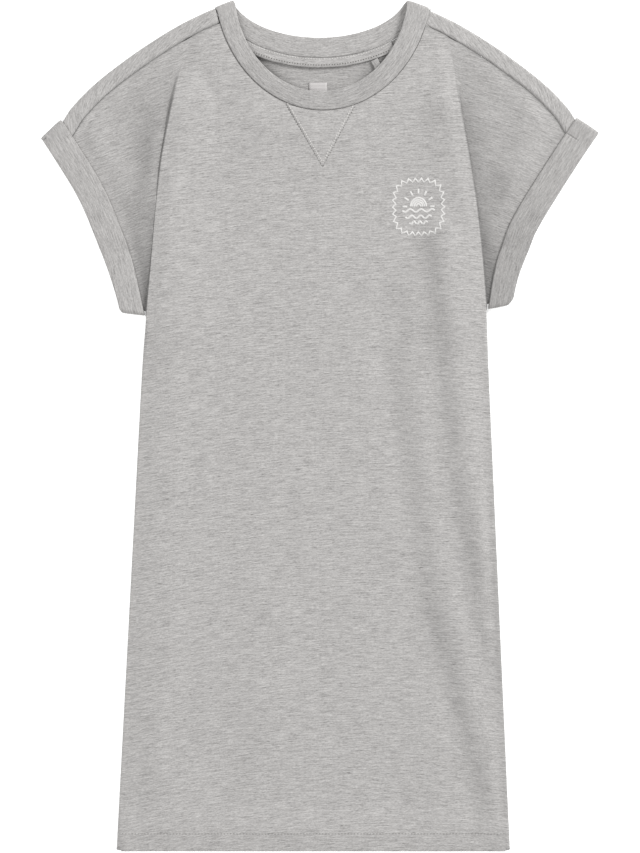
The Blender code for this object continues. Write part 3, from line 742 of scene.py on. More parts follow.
# Painted shade on the lee side of the long folds on the wearer's left, and on the side edge there.
# The height column is the depth of painted shade.
CREASE_PAINTED_SHADES = (
    (101.0, 160.0, 145.0, -125.0, 0.19, 12.0),
    (144.0, -120.0, 157.0, -200.0, 0.16, 10.0),
    (104.0, -170.0, 158.0, -345.0, 0.12, 12.0),
    (158.0, 90.0, 169.0, -230.0, 0.2, 8.0),
    (169.0, -230.0, 175.0, -380.0, 0.18, 7.0),
)


def fading_painted_shade(name, distance):
    """Painted shade that is deepest at its line and thins out quickly."""
    deepest, reach = PAINTED_SHADES[name]
    return deepest * math.exp(-max(distance, 0.0) / reach)


def broad_painted_shade(name, distance):
    """Painted shade that stays deep for some way and then ends."""
    deepest, reach = PAINTED_SHADES[name]
    return deepest * bell(distance / reach)


def sleeve_painted_shade(point):
    """Painted shade on the sleeve, deepest in the angle between the body's fold and the sleeve, and towards
    the underarm.
    """
    side = LEFT if point[0] < 0 else RIGHT
    out = -from_edge(side, point)
    if out < -0.6 or point[1] < ARM_Y[side] - 6:
        return 0.0
    low = blend(0.12, 1.0, below(point, 250, 110))
    angle = fading_painted_shade("sleeve's fold", out) * low * below(point, PLEAT_OPEN_Y, 40)
    wedge = fading_painted_shade("wedge above the underarm", out) * below(point, WEDGE_TOP_Y[side], 60)
    broad = broad_painted_shade("beside the sleeve's fold", out) * below(point, PLEAT_OPEN_Y, 50)
    return min(angle + wedge + broad + SLEEVE_PAINTED_SHADE[side], 1.0)


def front_painted_shade(point):
    """Painted shade on the front: the sleeves' hollows, the narrow ditch along each shoulder seam, and the
    folds' lee sides.
    """
    side = LEFT if point[0] < 0 else RIGHT
    seam = broad_painted_shade("shoulder seam", nearest(SHOULDER[side], point)[0] - SEAM_FORWARD - GAP)
    return min(sleeve_painted_shade(point) + seam + fold_height(point, CREASE_PAINTED_SHADES), 1.0)


def cuff_painted_shade(point):
    """Painted shade on the right cuff, which leans away from the light, most at its lower end."""
    return 0.0 if point[0] < 0 else 0.14 + 0.2 * below(point, 230, 60)


def neck_painted_shade(point):
    """Painted shade on the inside of the back, close under the front of the neckband at both sides, and
    under the tape.
    """
    aside = ease((abs(point[0] - NECK_ARCS["front_free"][0]) - 22) / 30)
    beside = fading_painted_shade("beside the neckband", nearest(FRONT_FREE, point)[0]) * aside * below(point, 360, 15)
    return min(beside + fading_painted_shade("under the tape", nearest(TAPE_EDGE, point)[0]), 1.0)


def band_painted_shade(point):
    """Painted shade on the front of the neckband, which turns a little away from the light."""
    return 0.15 * below(point, 350, 25)


# Making meshes
def placed(point):
    return (Vector(point) - MIDDLE) * MM


COURSE_STEPS = np.linspace(COURSE_X[0], COURSE_X[-1], 121)
COURSE_RISE = np.concatenate(
    [[0], np.cumsum(np.interp(COURSE_STEPS[1:], COURSE_X, COURSE_SLOPE) * np.diff(COURSE_STEPS))]
)


def on_grain(flat):
    """Place on the knitted cloth: x along the courses, y across them."""
    return Vector((flat[0], flat[1] - np.interp(flat[0], COURSE_STEPS, COURSE_RISE), 0)) * MM


def straight_grain(flat):
    return Vector((flat[0], flat[1], 0)) * MM


def grid(mesh, columns, rows, place, grain=on_grain):
    """A grid of faces. place(column, row) gives each point and its place on the flat cloth."""
    cloth = mesh.verts.layers.float_vector.get("cloth") or mesh.verts.layers.float_vector.new("cloth")
    made = bmesh.ops.create_grid(mesh, x_segments=columns, y_segments=rows, size=0.5)
    for vert in made["verts"]:
        column = round((vert.co.x + 0.5) * columns)
        row = round((vert.co.y + 0.5) * rows)
        point, flat = place(column, row)
        vert.co = placed(point)
        vert[cloth] = grain(flat)


def linked(name, data):
    """A new object of the scene that holds this data."""
    made = bpy.data.objects.new(name, data)
    bpy.context.scene.collection.objects.link(made)
    return made


def object_of(name, mesh, materials):
    """An object of a finished mesh."""
    data = bpy.data.meshes.new(name)
    mesh.to_mesh(data)
    mesh.free()
    for material in materials:
        data.materials.append(material)
    return linked(name, data)


def finish_piece(name, mesh, materials, node, wall=0.0, up=None, painted_shade=None):
    """An object of one piece: its grids joined, its outer side faced out, its cloth map and wall made."""
    bmesh.ops.remove_doubles(mesh, verts=mesh.verts, dist=0.002 * MM)
    bmesh.ops.recalc_face_normals(mesh, faces=mesh.faces)
    mesh.faces.ensure_lookup_table()
    if up is not None:
        middle = min(mesh.faces, key=lambda face: face.calc_center_median().xy.length)
        if middle.normal.z * up < 0:
            bmesh.ops.reverse_faces(mesh, faces=mesh.faces)
    # Painted shade, kept in each point for the cloth's material to darken its colour by.
    if painted_shade:
        painted_depth = mesh.verts.layers.float.new("painted_shade")
        for vert in mesh.verts:
            vert[painted_depth] = painted_shade(np.array((vert.co / MM + MIDDLE)[:2]))
    cloth = mesh.verts.layers.float_vector["cloth"]
    map_layer = mesh.loops.layers.uv.new("cloth map")
    for face in mesh.faces:
        face.smooth = True
        for loop in face.loops:
            loop[map_layer].uv = loop.vert[cloth].xy
    mesh.verts.layers.float_vector.remove(cloth)
    made = object_of(name, mesh, materials)
    if wall:
        solid = made.modifiers.new("wall", "SOLIDIFY")
        solid.thickness = wall * MM
        solid.offset = 0.0
        solid.use_rim = True
        solid.material_offset = 1 if len(materials) > 1 else 0
    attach(made, "root")
    if node:
        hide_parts(node)
    return made


def panel(name, face, materials, node):
    mesh = bmesh.new()
    rows = BODY_ROWS + ARM_ROWS
    grid(mesh, BODY_COLUMNS, rows, lambda i, j: body_place(face, i / BODY_COLUMNS, j / rows))
    grid(mesh, BODY_COLUMNS, TURN_STEPS + HEM_STEPS, lambda i, j: hem_point(face, i / BODY_COLUMNS, j))
    for side in (LEFT, RIGHT):
        grid(mesh, TURN_STEPS, rows, lambda i, j, side=side: edge_place(face, side, i, j / rows))
        add_pleat_and_sleeve(mesh, face, side)
        if face == BACK:
            add_shoulder_wrap(mesh, side)
    # Painted shade: the front's sleeves, seams and folds, and the inside of the back's neck.
    painted_shade = front_painted_shade if face == FRONT else neck_painted_shade
    return finish_piece(name, mesh, materials, node, WALL, face, painted_shade)


def hem_point(face, u, step):
    return hem_place(face, u, step) if step else body_place(face, u, 0.0)


def edge_place(face, side, i, v):
    """The body's edge columns: a roll down to the side seam, and above the underarm a fold."""
    if i == 0:
        start = body_side(side, face, v)
        return (*start, body_height(face, start)), start
    if v < ARM_SHARE - 1e-6:
        return roll_place(face, side, v, i / TURN_STEPS)
    return pleat_place(face, side, v, "outer fold", i / TURN_STEPS)


def add_pleat_and_sleeve(mesh, face, side):
    def section(part, steps):
        return lambda i, j: pleat_place(face, side, blend(ARM_SHARE, 1, j / ARM_ROWS), part, i / steps)

    grid(mesh, LAYER_STEPS, ARM_ROWS, section("layer", LAYER_STEPS))
    grid(mesh, TURN_STEPS, ARM_ROWS, section("inner fold", TURN_STEPS))
    grid(mesh, SLEEVE_STEPS, ARM_ROWS, lambda i, j: sleeve_place(face, side, i / SLEEVE_STEPS, j / ARM_ROWS))


def back_tops(side):
    """Points along the back's upper edge, from the neck to the sleeve's end."""
    columns = round(BODY_COLUMNS * SHOULDER_SHARE)
    shares = [(columns - i) / BODY_COLUMNS for i in range(columns + 1)]
    tops = [body_place(BACK, u if side == LEFT else 1 - u, 1.0) for u in shares]
    for part, steps in (("outer fold", TURN_STEPS), ("layer", LAYER_STEPS), ("inner fold", TURN_STEPS)):
        tops += [pleat_place(BACK, side, 1.0, part, i / steps) for i in range(1, steps + 1)]
    tops += [sleeve_place(BACK, side, i / SLEEVE_STEPS, 1.0) for i in range(1, SLEEVE_STEPS + 1)]
    return tops


def add_shoulder_wrap(mesh, side):
    """The back's strip that rolls over the shoulder edge and lies forward to the seam."""
    tops = back_tops(side)

    def place(i, j):
        (x, y, z), flat = tops[i]
        if j == 0:
            return tops[i]
        share = nearest(SHOULDER[side], (x, y))[1]
        radius = shoulder_loft(share)
        if j <= TURN_STEPS:
            angle = math.pi * j / TURN_STEPS
            inward = radius * (1 - math.sin(angle))
            rise = radius * (1 - math.cos(angle))
            used = radius * angle
        else:
            inward = blend(radius, SEAM_FORWARD, (j - TURN_STEPS) / STRIP_STEPS)
            ditch = SHOULDER_DITCH * bell((SEAM_FORWARD - inward) / SHOULDER_DITCH_WIDTH)
            rise = 2 * radius - ditch
            used = radius * (math.pi - 1) + inward
        plan = shoulder_point(side, share, inward)
        plan = beside_neck(side, plan) if i == 0 else plan
        across = square_to(heading(SHOULDER[side], share)) * side
        return (*plan, z + rise), flat - across * used

    grid(mesh, len(tops) - 1, TURN_STEPS + STRIP_STEPS, place)


def band_section(width, thickness, steps_flat=10, steps_turn=5):
    """A folded band's section as (distance across, height): flat faces between two rounded edges."""
    half = thickness / 2
    flat = np.linspace(half, width - half, steps_flat, endpoint=False)
    turn = np.linspace(0, math.pi, steps_turn, endpoint=False)
    crown = [half * (1 + 0.22 * math.sin(math.pi * x / width)) for x in flat]
    section = list(zip(flat, crown))
    section += [(width - half + half * math.sin(a), half * math.cos(a)) for a in turn]
    section += [(width - x, -half) for x in flat]
    section += [(half - half * math.sin(a), -half * math.cos(a)) for a in turn]
    return section


def ring_piece(name, stations, full_width, materials, node, painted_shade):
    """A closed folded band through stations that give its two edges, height and tilt round the ring."""
    section = band_section(full_width, DOUBLE)
    mesh = bmesh.new()
    seam = np.array([here["seam"] for here in stations])
    run = np.concatenate([[0], np.cumsum(np.linalg.norm(np.diff(seam, axis=0), axis=1))])

    def place(i, j):
        here = stations[i % len(stations)]
        across, height = section[j % len(section)]
        width = float(np.linalg.norm(here["free"] - here["seam"]))
        share = across / full_width
        plan = blend(here["seam"], here["free"], share) - here["outward"] * height * math.sin(here["tilt"])
        groove = here["groove"] * (1 - ease((share - CUFF_SEAM_REACH) / 0.25)) if height > 0 else 0.0
        flat = (run[i] if i < len(run) else run[-1] + 4, share * width + (0 if height > 0 else 60))
        z = here["height"] - groove + height * math.cos(here["tilt"]) * here["face"]
        return (*plan, max(z, 0.0)), flat

    grid(mesh, len(stations), len(section), place, straight_grain)
    return finish_piece(name, mesh, materials, node, painted_shade=painted_shade)


STILL = np.array((0.0, 0.0))


def station(seam, free, height, tilt=0.0, outward=STILL, face=1, groove=0.0):
    """One place along a folded band: its two edges, and how its section stands there."""
    return {
        "seam": seam,
        "free": free,
        "height": height,
        "tilt": tilt,
        "outward": outward,
        "face": face,
        "groove": groove,
    }


def neckband(materials):
    """A ring: across the front, over one shoulder, along the back and over the other."""
    shoulder_y, tip_y = SHOULDER_EDGE[0][1] - BAND_TURN, BAND_TIP_Y - BAND_TURN
    front = (neck_arc("front_seam", shoulder_y), neck_arc("front_free", tip_y))
    back = (neck_arc("back_seam", shoulder_y), neck_arc("back_free", tip_y))
    low, high = DOUBLE / 2, DOUBLE / 2 + 2 * BAND_TURN
    stations = []
    for i in range(BAND_FRONT_STEPS):
        stations.append(station(*[at_share(line, i / BAND_FRONT_STEPS) for line in front], high))
    stations += shoulder_turn(RIGHT, front, back)
    for i in range(BAND_BACK_STEPS):
        stations.append(station(*[at_share(line, 1 - i / BAND_BACK_STEPS) for line in back], low, face=-1))
    stations += shoulder_turn(LEFT, back, front)
    return ring_piece("neckband_jersey", stations, BAND_WIDTH, materials, "neckband", band_painted_shade)


def shoulder_turn(side, before, after):
    """Half turn of the neckband over one shoulder, from the lines before it to those after it."""
    end = 1.0 if side == RIGHT else 0.0
    outward = np.array((side * BAND_SLANT[0], BAND_SLANT[1]))
    stations = []
    for i in range(TURN_STEPS):
        turned = i / TURN_STEPS
        angle = math.pi * (turned if side == RIGHT else 1 - turned)
        shift = outward * BAND_TURN * math.sin(angle)
        edges = [blend(at_share(a, end), at_share(b, end), turned) + shift for a, b in zip(before, after)]
        height = DOUBLE / 2 + BAND_TURN * (1 + math.cos(angle))
        stations.append(station(*edges, height, -angle, outward))
    return stations


def cuff_station(side, share, height, tilt=0.0, outward=STILL, face=1, shift=0.0):
    """One place along a cuff, with its free edge pulled in round the lower corner."""
    inset = blend(CUFF_TURN_SHARE, 1 - CUFF_TURN_SHARE, share)
    radius = CUFF_CORNER[side]
    from_end = share * CUFF_LENGTH + CUFF_TURN + DOUBLE / 2 - shift
    before = max(radius - from_end, 0.0)
    pulled = radius - math.sqrt(max(radius**2 - before**2, 0.0))
    from_seam = (share - CUFF_SEAM_SHARE) * CUFF_LENGTH
    groove = CUFF_SEAM_DEPTH * bell(from_seam / 0.8) if height > SLEEVE_IN_CUFF else 0.0
    seam = cuff_plan(side, inset, 0.0) + outward * shift
    free = cuff_plan(side, inset, 1 - pulled / CUFF_WIDTH) + outward * shift
    return station(seam, free, height, tilt, outward, face, groove)


def cuff_turn(side, share):
    """Half turn of the cuff over its upper end, or back under its lower one."""
    up = 1 if share else -1
    outward = heading(CUFF_TOP[side], share) * up
    stations = []
    for i in range(TURN_STEPS):
        angle = math.pi * i / TURN_STEPS
        height = SLEEVE_IN_CUFF - up * CUFF_TURN * math.cos(angle)
        tilt = angle - math.pi if up > 0 else -angle
        stations.append(cuff_station(side, share, height, tilt, outward, 1, CUFF_TURN * math.sin(angle)))
    return stations


def cuff(name, side, materials, node):
    """A ring round the sleeve's end: up the back layer, over the top, down the front, and under."""
    seam_run = CUFF_SEAM_SHARE + np.linspace(-3, 3, 13) / CUFF_LENGTH
    corner_run = np.linspace(0, 12, 13) / CUFF_LENGTH
    shares = np.unique(np.concatenate([np.linspace(0, 1, 56), seam_run, corner_run]))
    low, high = CUFF_BACK_LAYER, CUFF_BACK_LAYER + 2 * CUFF_TURN
    stations = [cuff_station(side, share, low, face=-1) for share in shares[:-1]]
    stations += cuff_turn(side, 1.0)
    stations += [cuff_station(side, share, high) for share in shares[:0:-1]]
    stations += cuff_turn(side, 0.0)
    return ring_piece(name, stations, CUFF_WIDTH, materials, node, cuff_painted_shade)


def neck_tape(materials):
    steps, rows = 60, 4
    base = WALL + GAP + TAPE_WALL / 2

    def place(i, j):
        x = blend(-TAPE_HALF, TAPE_HALF, i / steps)
        share = j / rows
        lift = 1.1 * (1 - share) ** 1.5
        plan = neck_point("back_seam", x, GAP + TAPE_WIDTH * (1 - share))
        return (*plan, base + lift), (x + 500, 9 * share)

    mesh = bmesh.new()
    grid(mesh, steps, rows, place, straight_grain)
    return finish_piece("neck_tape_jersey", mesh, materials, "neck_tape", TAPE_WALL, 1)


def surface_of(piece):
    return BVHTree.FromObject(piece, bpy.context.evaluated_depsgraph_get())


def top_at(surface, point):
    """Height of a surface at a point of the plan, in millimetres."""
    hit = surface.ray_cast(placed((point[0], point[1], 60.0)), Vector((0, 0, -1)))[0]
    if hit is None:
        hit = surface.find_nearest(placed((point[0], point[1], 8.0)))[0]
    return hit.z / MM


def v_insert(front, materials):
    steps = 26

    def place(i, j):
        top = neck_point("front_seam", blend(V_LEFT_X, V_RIGHT_X, i / steps), 3 * GAP)
        point = blend(top, np.array(V_POINT), V_TIP_SHARE * j / steps)
        return (*point, top_at(front, point) + V_PROUD - V_WALL / 2), (point[0] + 700, point[1])

    mesh = bmesh.new()
    grid(mesh, steps, steps, place, straight_grain)
    return finish_piece("v_insert_jersey", mesh, materials, "v_insert", V_WALL, 1)


def label(materials):
    steps = 8
    base = WALL + 0.15 + LABEL_WALL / 2

    def place(i, j):
        x, y = blend(*LABEL_X, i / steps), blend(*LABEL_Y, j / steps)
        curl = 0.5 * math.sin(math.pi * i / steps) ** 2 * (1 - j / steps)
        return (x, y, base + curl), (x, y)

    mesh = bmesh.new()
    grid(mesh, steps, steps, place, straight_grain)
    return finish_piece("neck_label_satin", mesh, materials, "neck_label", LABEL_WALL, 1)


def hanger_loop(materials):
    line = smooth_line(LOOP_LINE)
    steps = 24
    section = band_section(LOOP_WIDTH, LOOP_WALL, 5, 4)
    mesh = bmesh.new()

    def place(i, j):
        across, height = section[j % len(section)]
        sideways = square_to(heading(line, i / steps))
        point = at_share(line, i / steps) + sideways * (LOOP_WIDTH / 2 - across)
        return (*point, WALL + 2 * GAP + LOOP_WALL / 2 + height), (900 + i, across)

    grid(mesh, steps, len(section), place, straight_grain)
    bmesh.ops.remove_doubles(mesh, verts=mesh.verts, dist=0.002 * MM)
    bmesh.ops.holes_fill(mesh, edges=mesh.edges, sides=0)
    return finish_piece("hanger_loop_jersey", mesh, materials, "hanger_loop")


# Stitching
def stitch_rows(name, rows, thread, spacing, length, width):
    """Threads laid along lines of points. Each stitch is a small flattened bead."""
    mesh = bmesh.new()
    mesh.verts.layers.float_vector.new("cloth")
    for row in rows:
        line = np.array(row)
        count = max(int(line_length(line) / spacing), 2)
        line = even(line)
        for i in range(count):
            middle = at_share(line, (i + 0.5) / count)
            along = at_share(line, (i + 0.7) / count) - middle
            bead = bmesh.ops.create_icosphere(mesh, subdivisions=1, radius=0.5)
            turn = Vector((1, 0, 0)).rotation_difference(Vector(along)).to_matrix().to_4x4()
            for vert in bead["verts"]:
                local = Vector((vert.co.x * length, vert.co.y * width, vert.co.z * width * 0.6))
                vert.co = placed(Vector(middle) + turn @ local)
    return finish_piece(name, mesh, [thread], None)


def on_surface(surface, points, lift=0.05):
    return [(x, y, top_at(surface, (x, y)) + lift) for x, y in points]


def v_edges(inward):
    """Lines along the V's two sloping edges, moved in from them."""
    lines = []
    for side, corner_x in ((LEFT, V_LEFT_X), (RIGHT, V_RIGHT_X)):
        top = neck_point("front_seam", corner_x, 2.0)
        along = np.array(V_POINT) - top
        along /= np.linalg.norm(along)
        shift = square_to(along) * side * inward
        start, end = top + shift, np.array(V_POINT) - along * inward * 2.0 + shift
        lines.append([blend(start, end, share) for share in np.linspace(0, 1, 30)])
    return lines


def hem_line(up):
    return [body_plan(FRONT, u, 0.0) + np.array((0.0, up)) for u in np.linspace(0.0, 1.0, 120)]


def tape_line(outward):
    half = TAPE_HALF - 4
    return [neck_point("back_seam", x, outward) for x in np.linspace(-half, half, 60)]


# Chest print: a zigzag sunburst round a small plain sun over two waves
BADGE_MIDDLE = (91.1, 200.9)
BADGE_WIDTH, BADGE_HEIGHT = 48.0, 53.0
BADGE_POINTS = 26
RING_WIDTH = 1.35
STROKE_WIDTH = 2.0
BADGE_SQUARENESS, BADGE_NOTCH = 3.2, 0.86
# Shares of the badge's half size
SUN_MIDDLE = (0.0, 0.02)
SUN_RADII = (0.30, 0.23, 0.16, 0.09)  # overlapping arcs fill the half sun
RAYS, RAY_INNER, RAY_OUTER = 7, 0.42, 0.62
WAVES = ((-0.12, 0.62), (-0.34, 0.5), (-0.54, 0.34))  # height and reach
WAVE_HEIGHT, WAVE_CRESTS = 0.05, 3
INK_LIFT, INK_WALL = 0.06, 0.08


def sunburst():
    """Ring of even zigzags on a rounded square."""
    points = []
    for i in range(2 * BADGE_POINTS + 1):
        angle = math.pi * i / BADGE_POINTS
        x, y = math.cos(angle), math.sin(angle)
        reach = (abs(x) ** BADGE_SQUARENESS + abs(y) ** BADGE_SQUARENESS) ** (-1 / BADGE_SQUARENESS)
        reach *= BADGE_NOTCH if i % 2 else 1.0
        points.append((reach * x, reach * y))
    return points


def sun_arc(radius):
    angles = np.linspace(0, math.pi, 37)
    return [(SUN_MIDDLE[0] + radius * math.cos(a), SUN_MIDDLE[1] + radius * math.sin(a)) for a in angles]


def ray(i):
    angle = math.pi * i / (RAYS - 1)
    direction = np.array((math.cos(angle), math.sin(angle)))
    return [np.array(SUN_MIDDLE) + direction * radius for radius in (RAY_INNER, RAY_OUTER)]


def wave(y, reach):
    places = np.linspace(-reach, reach, 60)
    return [(x, y + WAVE_HEIGHT * math.sin(math.pi * WAVE_CRESTS * x / reach)) for x in places]


def ink_line(mesh, surface, points, width):
    """A flat stroke of ink that lies on the cloth."""
    line = np.array(points, float)
    closed = np.linalg.norm(line[0] - line[-1]) < 1e-6
    count = len(line)
    sides = []
    for i in range(count):
        before = line[(i - 1) % (count - 1)] if closed else line[max(i - 1, 0)]
        after = line[(i + 1) % (count - 1)] if closed else line[min(i + 1, count - 1)]
        first, second = line[i] - before, after - line[i]
        first = first / (np.linalg.norm(first) or 1)
        second = second / (np.linalg.norm(second) or 1)
        along = first + second
        along /= np.linalg.norm(along) or 1
        normal = -square_to(along)
        onward = -square_to(second) if np.any(second) else normal
        mitre = min(1 / max(abs(float(np.dot(normal, onward))), 0.45), 1.8)
        sides.append((line[i] - normal * width / 2 * mitre, line[i] + normal * width / 2 * mitre))

    def place(i, j):
        point = sides[i][j]
        return (*point, top_at(surface, point) + INK_LIFT), (point[0], point[1])

    grid(mesh, count - 1, 1, place, straight_grain)


def chest_print(front, ink):
    strokes = [finer(sunburst(), 2)]
    strokes += [sun_arc(radius) for radius in SUN_RADII]
    strokes += [finer(ray(i), 3) for i in range(RAYS)]
    strokes += [wave(y, reach) for y, reach in WAVES]
    half = np.array((BADGE_WIDTH, BADGE_HEIGHT)) / 2
    mesh = bmesh.new()
    for i, stroke in enumerate(strokes):
        line = np.array(BADGE_MIDDLE) + half * np.array(stroke)
        ink_line(mesh, front, line, STROKE_WIDTH if i else RING_WIDTH)
    return finish_piece("chest_print", mesh, [ink], None, INK_WALL, 1)


def finer(points, parts):
    out = []
    for start, end in zip(points, points[1:]):
        out += [blend(np.array(start), np.array(end), k / parts) for k in range(parts)]
    return [*out, np.array(points[-1])]


# Materials
def linear(hex_colour):
    """Linear colour of an sRGB hex value."""
    values = [int(hex_colour[i : i + 2], 16) / 255 for i in (1, 3, 5)]
    return (*[v / 12.92 if v <= 0.04045 else ((v + 0.055) / 1.055) ** 2.4 for v in values], 1.0)


def add_node(tree, kind, settings=None, inputs=None, links=None):
    """Adds a node, sets its properties and inputs, and links named inputs from other sockets."""
    node = tree.nodes.new(kind)
    for key, value in (settings or {}).items():
        setattr(node, key, value)
    for key, value in (inputs or {}).items():
        node.inputs[key].default_value = value
    for key, socket in (links or {}).items():
        tree.links.new(socket, node.inputs[key])
    return node


def new_material(name, roughness, sheen=0.0):
    made = bpy.data.materials.new(name)
    made.use_nodes = True
    shader = made.node_tree.nodes["Principled BSDF"]
    shader.inputs["Roughness"].default_value = roughness
    shader.inputs["Specular IOR Level"].default_value = 0.25
    shader.inputs["Sheen Weight"].default_value = sheen
    shader.inputs["Sheen Roughness"].default_value = 0.6
    return made, made.node_tree, shader


# Marl: blended dark and pale fibres show as streaks along the courses.
STREAK_COLUMNS = ("length", "width", "detail", "strength")
STREAKS = (
    (42.0, 9.0, 1.0, 0.16),
    (15.0, 1.15, 2.5, 0.95),
    (6.0, 0.9, 1.5, 0.55),
    (2.4, 0.75, 0.0, 0.45),
    (0.9, 0.8, 0.0, 0.34),
)
FLECK_LENGTH, FLECK_WIDTH, FLECK_DEPTH = 8.0, 0.85, 0.26
FLECK_FROM, FLECK_TO = 0.30, 0.37
PAINTED_SHADE_KEEPS = 0.52  # share of its colour that the cloth keeps under the deepest painted shade


def between(tree, share, dark, pale):
    """Colour between two sRGB hex ones, at the share that a socket gives."""
    inputs = {6: linear(dark), 7: linear(pale)}
    return add_node(tree, "ShaderNodeMix", {"data_type": "RGBA"}, inputs, {0: share}).outputs[2]


def fibre_noise(tree, cloth, length, width, detail):
    """Noise drawn out along the courses, with these sizes in millimetres."""
    scale = (1 / (length * MM), 1 / (width * MM), 1.0)
    mapped = add_node(tree, "ShaderNodeMapping", {}, {"Scale": scale}, {"Vector": cloth})
    inputs = {"Scale": 1.0, "Detail": detail, "Roughness": 0.6}
    return add_node(tree, "ShaderNodeTexNoise", {}, inputs, {"Vector": mapped.outputs[0]}).outputs["Fac"]


def marl_jersey(name, dark, pale, bump=1.0):
    """Cotton jersey in grey marl, brushed inside: matt, slightly fuzzy, streaked along the courses."""
    made, tree, shader = new_material(name, 0.92, 0.1)
    cloth = add_node(tree, "ShaderNodeUVMap", {"uv_map": "cloth map"}).outputs["UV"]
    streaks = [dict(zip(STREAK_COLUMNS, row)) for row in STREAKS]
    middle = 0.5 - sum(streak["strength"] for streak in streaks) / 2
    sockets = {}
    for streak in streaks:
        sockets[0] = fibre_noise(tree, cloth, streak["length"], streak["width"], streak["detail"])
        inputs = {1: streak["strength"], 2: middle}
        added = add_node(tree, "ShaderNodeMath", {"operation": "MULTIPLY_ADD"}, inputs, sockets)
        sockets[2] = added.outputs[0]
    fleck = fibre_noise(tree, cloth, FLECK_LENGTH, FLECK_WIDTH, 1.0)
    inputs = {"From Min": FLECK_FROM, "From Max": FLECK_TO, "To Min": FLECK_DEPTH, "To Max": 0.0}
    dark_fleck = add_node(tree, "ShaderNodeMapRange", {}, inputs, {"Value": fleck})
    settings = {"operation": "SUBTRACT", "use_clamp": True}
    sockets = {0: sockets[2], 1: dark_fleck.outputs[0]}
    level = add_node(tree, "ShaderNodeMath", settings, {}, sockets).outputs[0]
    mixed = between(tree, level, dark, pale)
    # Painted shade: the cloth's colour is darkened by the shade that each piece carries in its points.
    painted_depth = add_node(tree, "ShaderNodeAttribute", {"attribute_name": "painted_shade"}).outputs["Fac"]
    inputs = {"To Min": 1.0, "To Max": PAINTED_SHADE_KEEPS}
    colour_kept = add_node(tree, "ShaderNodeMapRange", {}, inputs, {"Value": painted_depth}).outputs[0]
    settings = {"data_type": "RGBA", "blend_type": "MULTIPLY"}
    shaded = add_node(tree, "ShaderNodeMix", settings, {0: 1.0}, {6: mixed, 7: colour_kept}).outputs[2]
    tree.links.new(shaded, shader.inputs["Base Color"])
    # The real stitches are finer than can show, so the relief is drawn at the streaks' own size.
    inputs = {"Strength": 0.3 * bump, "Distance": 0.3 * MM}
    relief = add_node(tree, "ShaderNodeBump", {}, inputs, {"Height": level})
    tree.links.new(relief.outputs[0], shader.inputs["Normal"])
    return made


def satin_label():
    """Woven polyester satin: white, smooth, with a fine cross rib."""
    made, tree, shader = new_material("white_woven_satin", 0.45)
    cloth = add_node(tree, "ShaderNodeUVMap", {"uv_map": "cloth map"}).outputs["UV"]
    settings = {"wave_type": "BANDS", "bands_direction": "Y"}
    inputs = {"Scale": 1 / (1.6 * MM) / 6.283, "Distortion": 0.4}
    rib = add_node(tree, "ShaderNodeTexWave", settings, inputs, {"Vector": cloth}).outputs["Fac"]
    tree.links.new(between(tree, rib, "#bebbba", "#c6c3c2"), shader.inputs["Base Color"])
    relief = add_node(tree, "ShaderNodeBump", {}, {"Strength": 0.3, "Distance": 0.1 * MM}, {"Height": rib})
    tree.links.new(relief.outputs[0], shader.inputs["Normal"])
    return made


def speckled(name, roughness, dark, pale, size, detail=2.0):
    """A matt surface whose colour varies in specks of this size in millimetres."""
    made, tree, shader = new_material(name, roughness)
    place = add_node(tree, "ShaderNodeTexCoord").outputs["Object"]
    inputs = {"Scale": 1 / (size * MM), "Detail": detail}
    specks = add_node(tree, "ShaderNodeTexNoise", {}, inputs, {"Vector": place}).outputs["Fac"]
    tree.links.new(between(tree, specks, dark, pale), shader.inputs["Base Color"])
    return made, shader


def sewing_thread(name, dark, pale):
    """Spun polyester thread, a shade off the cloth."""
    return speckled(name, 0.7, dark, pale, 1.5, 1.0)[0]


def print_ink():
    """Water-based screen ink, off-white, uneven where the cloth's nap breaks it up."""
    return speckled("off_white_screen_ink", 0.75, "#cbc9c7", "#e6e5e3", 1.8)[0]


def floor_paper():
    """White paper on a light table: matt, and lit from below so that shadows stay faint."""
    made, shader = speckled("white_background_paper", 0.9, "#fbfbfb", "#fdfdfd", 4.0)
    shader.inputs["Emission Color"].default_value = (1, 1, 1, 1)
    shader.inputs["Emission Strength"].default_value = 0.45
    return made


# Stage
def make_camera():
    data = bpy.data.cameras.new("camera")
    data.sensor_fit = "AUTO"
    data.sensor_width = SENSOR
    data.lens = SENSOR * CAMERA_HEIGHT / VIEW_HEIGHT
    data.clip_end = 3 * FLOOR_REACH
    camera = linked("camera", data)
    camera.location = placed((*VIEW_MIDDLE, CAMERA_HEIGHT))
    bpy.context.scene.camera = camera


def make_floor(paper):
    mesh = bmesh.new()
    bmesh.ops.create_grid(mesh, x_segments=1, y_segments=1, size=FLOOR_REACH)
    for vert in mesh.verts:
        vert.co.z = -FLOOR_DROP * MM
    object_of("floor", mesh, [paper])


def soft_light(name, place, size, power):
    data = bpy.data.lights.new(name, "AREA")
    data.shape = "SQUARE"
    data.size = size
    data.energy = power
    lamp = linked(name, data)
    lamp.location = place
    lamp.rotation_euler = (-Vector(place)).to_track_quat("-Z", "Y").to_euler()


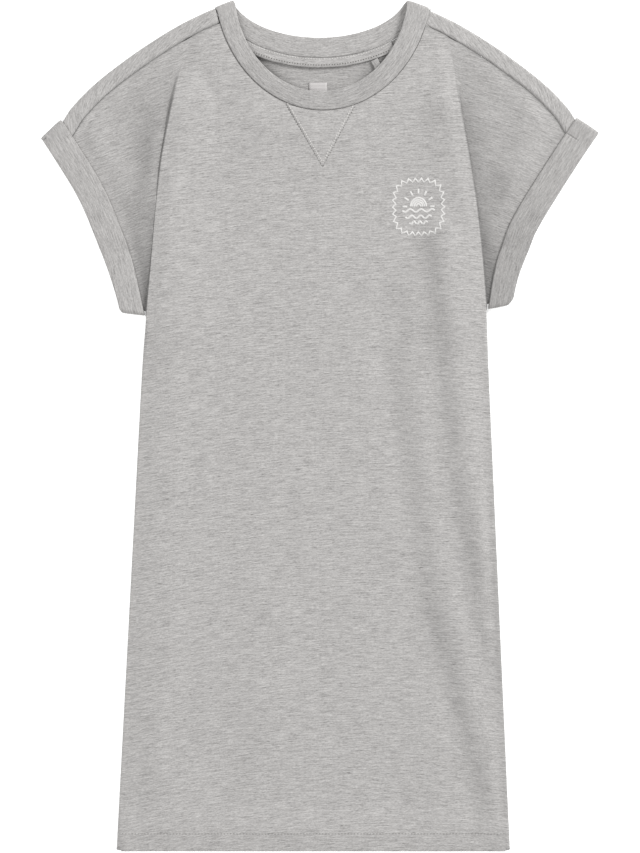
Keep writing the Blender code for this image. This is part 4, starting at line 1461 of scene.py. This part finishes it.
def make_light():
    soft_light("key", (2.9, 2.4, 2.5), 1.3, 152.0)
    soft_light("fill", (-1.2, -0.4, 2.4), 1.6, 20.0)
    world = bpy.data.worlds.new("studio")
    world.use_nodes = True
    background = world.node_tree.nodes["Background"]
    background.inputs["Color"].default_value = (1, 1, 1, 1)
    background.inputs["Strength"].default_value = 0.55
    bpy.context.scene.world = world
    bpy.context.scene.view_settings.view_transform = "Standard"


def main():
    make_camera()
    make_floor(floor_paper())
    make_light()

    outside = marl_jersey("grey_marl_jersey", "#7a7877", "#d3d1cf")
    inside = marl_jersey("grey_marl_jersey_inside", "#757372", "#cccac8")
    trim = marl_jersey("grey_marl_jersey_trim", "#7a7877", "#cfcdcb", 0.8)

    front = panel("front_jersey", FRONT, [outside, inside], "front_panel")
    back = panel("back_jersey", BACK, [outside, inside], "back_panel")
    band = neckband([trim])
    tape = neck_tape([trim])
    cuffs = [
        cuff("cuff_left_jersey", LEFT, [trim], "cuff_left"),
        cuff("cuff_right_jersey", RIGHT, [trim], "cuff_right"),
    ]
    loop = hanger_loop([trim])
    front_top = surface_of(front)
    patch_v = v_insert(front_top, [outside])
    tag = label([satin_label()])

    dark = sewing_thread("grey_sewing_thread", "#676562", "#7a7875")
    pale = sewing_thread("pale_sewing_thread", "#cdcbc8", "#dcdad7")
    stitching = (
        # name, piece it lies on, lines, thread, spacing, length and width of a stitch
        ("v_stitches_outer", patch_v, v_edges(0.5), dark, 2.5, 1.3, 0.8),
        ("v_stitches_inner", patch_v, v_edges(2.4), pale, 2.5, 2.1, 1.2),
        ("tape_stitches", tape, [tape_line(TAPE_WIDTH - 2.0)], dark, 2.4, 1.5, 1.1),
        ("tape_edge_stitches", tape, [tape_line(1.5)], pale, 2.4, 1.4, 1.1),
        ("hem_stitches", front, [hem_line(HEM_DEPTH)], dark, 2.9, 1.8, 0.5),
    )
    for name, piece, lines, thread, *sizes in stitching:
        surface = surface_of(piece)
        stitch_rows(name, [on_surface(surface, line) for line in lines], thread, *sizes)
    chest_print(front_top, print_ink())


main()
